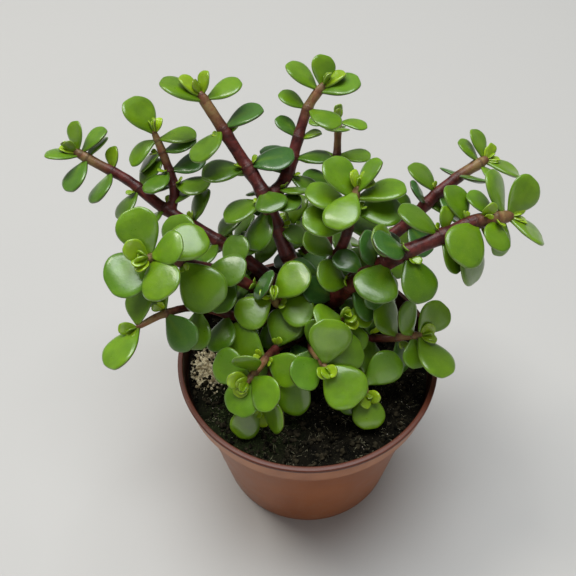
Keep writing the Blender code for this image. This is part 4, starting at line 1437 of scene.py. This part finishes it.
def setMarks(copy, young, tone):
    data = copy.data.attributes["leafMarks"].data
    marks = np.zeros(len(data) * 4)
    data.foreach_get("color", marks)
    marks = marks.reshape(-1, 4)
    marks[:, 0] = young
    marks[:, 1] = tone
    data.foreach_set("color", marks.ravel())


def leafFinish():
    tree, material = newFinish(
        "fleshyLeaf", Specular_IOR_Level=0.55, Coat_Weight=0.30, Coat_Roughness=0.14,
        Subsurface_Weight=0.15, Subsurface_Scale=0.0025, Subsurface_Radius=(0.6, 1.0, 0.15))
    where = objectPlace(tree)
    young, tone, upper = marksFrom(tree, "leafMarks")
    flat = tree.nodes.new("ShaderNodeUVMap")
    flat.uv_map = "UVMap"
    along, across = split(tree, flat.outputs["UV"])[:2]
    toMiddle = maths(tree, "ABSOLUTE", maths(tree, "SUBTRACT", across, 0.5))
    toSide = maths(tree, "SUBTRACT", 0.5, toMiddle)
    toEdge = maths(tree, "MINIMUM", toSide, maths(tree, "SUBTRACT", 1.0, along))
    patches = noiseFrom(tree, where, 120.0, 4.0, 0.6)
    mottle = noiseFrom(tree, where, 700.0, 4.0, 0.65)
    fine = noiseFrom(tree, where, 3600.0, 3.0, 0.6)
    toned = rampFrom(tree, young, leafShape["ages"])
    toned = blended(tree, between(tree, tone, 0.0, 1.0, 0.0, 0.60), toned, leafShape["warm"])
    isGrown = between(tree, young, 0.3, 0.6, 1.0, 0.0)
    # bluish tint on grown leaves of low tone: partly their own colour and partly painted sky reflection
    bluishToneAndSheen = maths(tree, "MULTIPLY", between(tree, tone, 0.05, 0.40, 0.60, 0.0), isGrown)
    toned = blended(tree, bluishToneAndSheen, toned, leafShape["bluishToneAndSheen"])
    toned = blended(tree, between(tree, patches, 0.35, 0.68, 0.0, 0.35), toned, leafShape["deep"])
    toned = blended(tree, between(tree, mottle, 0.52, 0.75, 0.0, 0.16), toned, leafShape["pale"])
    speckles = between(tree, cellsFrom(tree, where, 1500.0), 0.10, 0.22, 0.35, 0.0)
    toned = blended(tree, speckles, toned, leafShape["speckle"])
    crease = between(tree, toMiddle, 0.0, 0.16, 0.35, 0.0)
    crease = maths(tree, "MULTIPLY", crease, between(tree, along, 0.3, 0.85, 1.0, 0.0))
    toned = blended(tree, crease, toned, leafShape["crease"])
    under = blended(tree, 0.5, toned, leafShape["under"])
    toned = blended(tree, between(tree, upper, 0.2, 0.8), under, toned)
    # the leaf's edge: red on some leaves, and on the others a pale painted glow of light through it
    rimToneAndGlow = blended(tree, between(tree, tone, 0.30, 0.45), *leafShape["redRimAndPaintedGlow"])
    toned = blended(tree, between(tree, toEdge, 0.002, 0.022, 0.60, 0.0), toned, rimToneAndGlow)
    toned = blended(tree, between(tree, along, 0.0, 0.16, 0.65, 0.0), toned, leafShape["foot"])
    gloss = between(tree, mottle, 0.25, 0.75, 0.27, 0.37)
    skin = bumpFrom(tree, fine, 0.035, 0.4)
    dimples = bumpFrom(tree, mottle, 0.10, 0.35, skin)
    return finished(material, toned, gloss, bumpFrom(tree, patches, 0.5, 0.35, dimples))


def setLeaf(pattern, leaf, young, tone, twist):
    turned = Matrix(leaf["axes"].T.tolist()).to_4x4()
    scale = Matrix.Scale(leaf["length"] / leafShape["length"], 4)
    place = Matrix.Translation(Vector(leaf["root"]) * mm)
    copy = copyOf(pattern, place @ turned @ Matrix.Rotation(twist, 4, "X") @ scale)
    setMarks(copy, young, tone)
    return copy


# a tiny pair of new leaves in the corner of a joint
def addBuds(leaf, pattern, chance):
    along, across, face = leaf["axes"]
    ahead, up, aside = leafShape["budAim"]
    onward, above = leafShape["budPlace"]
    buds = []
    for way in (-1, 1):
        outward = unit(ahead * along + up * face + aside * way * across)
        upward = unit(face - outward * (face @ outward))
        bud = {
            "root": leaf["root"] + along * onward + face * above,
            "axes": np.stack([outward, np.cross(upward, outward), upward]),
            "length": chance.uniform(*leafShape["budLength"]),
        }
        young, tone = chance.uniform(*leafShape["newness"]), chance.random()
        twist = chance.uniform(-leafShape["budTwist"], leafShape["budTwist"])
        buds.append(setLeaf(pattern, bud, young, tone, twist))
    return buds


# two small pairs of the newest leaves close the end of a shoot, one pair crossed over the other
def addTip(shoot, route, pattern, chance):
    ahead = directionAt(route, distancesAlong(route)[-1])
    end = route[-1] - ahead * leafShape["tipSunk"]
    uneven = leafShape["tipUneven"]
    firstTurn = shoot["joints"][0][1][1]  # of the leaf nearest the tip
    copies = []
    for pair, (opening, length) in enumerate(leafShape["tipPairs"]):
        start = firstTurn + 90 * pair
        for turn in (start, start + 180):
            axes = leafAxes(ahead, turn, opening + chance.uniform(-uneven, uneven))
            tip = {"root": end, "axes": axes, "length": length * chance.uniform(*leafShape["tipSizes"])}
            copies.append(setLeaf(pattern, tip, chance.uniform(*leafShape["newness"]), chance.random(), 0.0))
    return copies


def addLeaves():
    chance = random.Random(leafShape["seed"])
    patterns = [modelLeaf(*look) for look in leafShape["patterns"]]
    *grown, spoon, bud = patterns
    finish = leafFinish()
    nearTip, small = leafShape["youngShares"]
    twist = leafShape["twist"]
    for name, shoots in leafyStems.items():
        copies = []
        for leaf in leaves:
            if leaf["node"] != name:
                continue
            isSmall = leaf["length"] < leafShape["smallBelow"]
            young = max(0.0, 1 - leaf["fromTip"] / leafShape["youngReach"])
            young = min(1.0, nearTip * young + (small if isSmall else 0.0))
            pattern = spoon if isSmall else chance.choice(grown)
            copies.append(setLeaf(pattern, leaf, young, chance.random(), chance.uniform(-twist, twist)))
            if leaf["fromTip"] > leafShape["budsFrom"] and chance.random() < leafShape["budShare"]:
                copies += addBuds(leaf, bud, chance)
        for shoot, route in zip(shoots, shootRoutes(shoots)):
            copies += addTip(shoot, route, bud, chance)
        blades = joinAll(f"leaves_{name}", copies)
        dress(blades, finish, "leaf_green", name)
    removePatterns(patterns)


addLeaves()
print("leaves done")
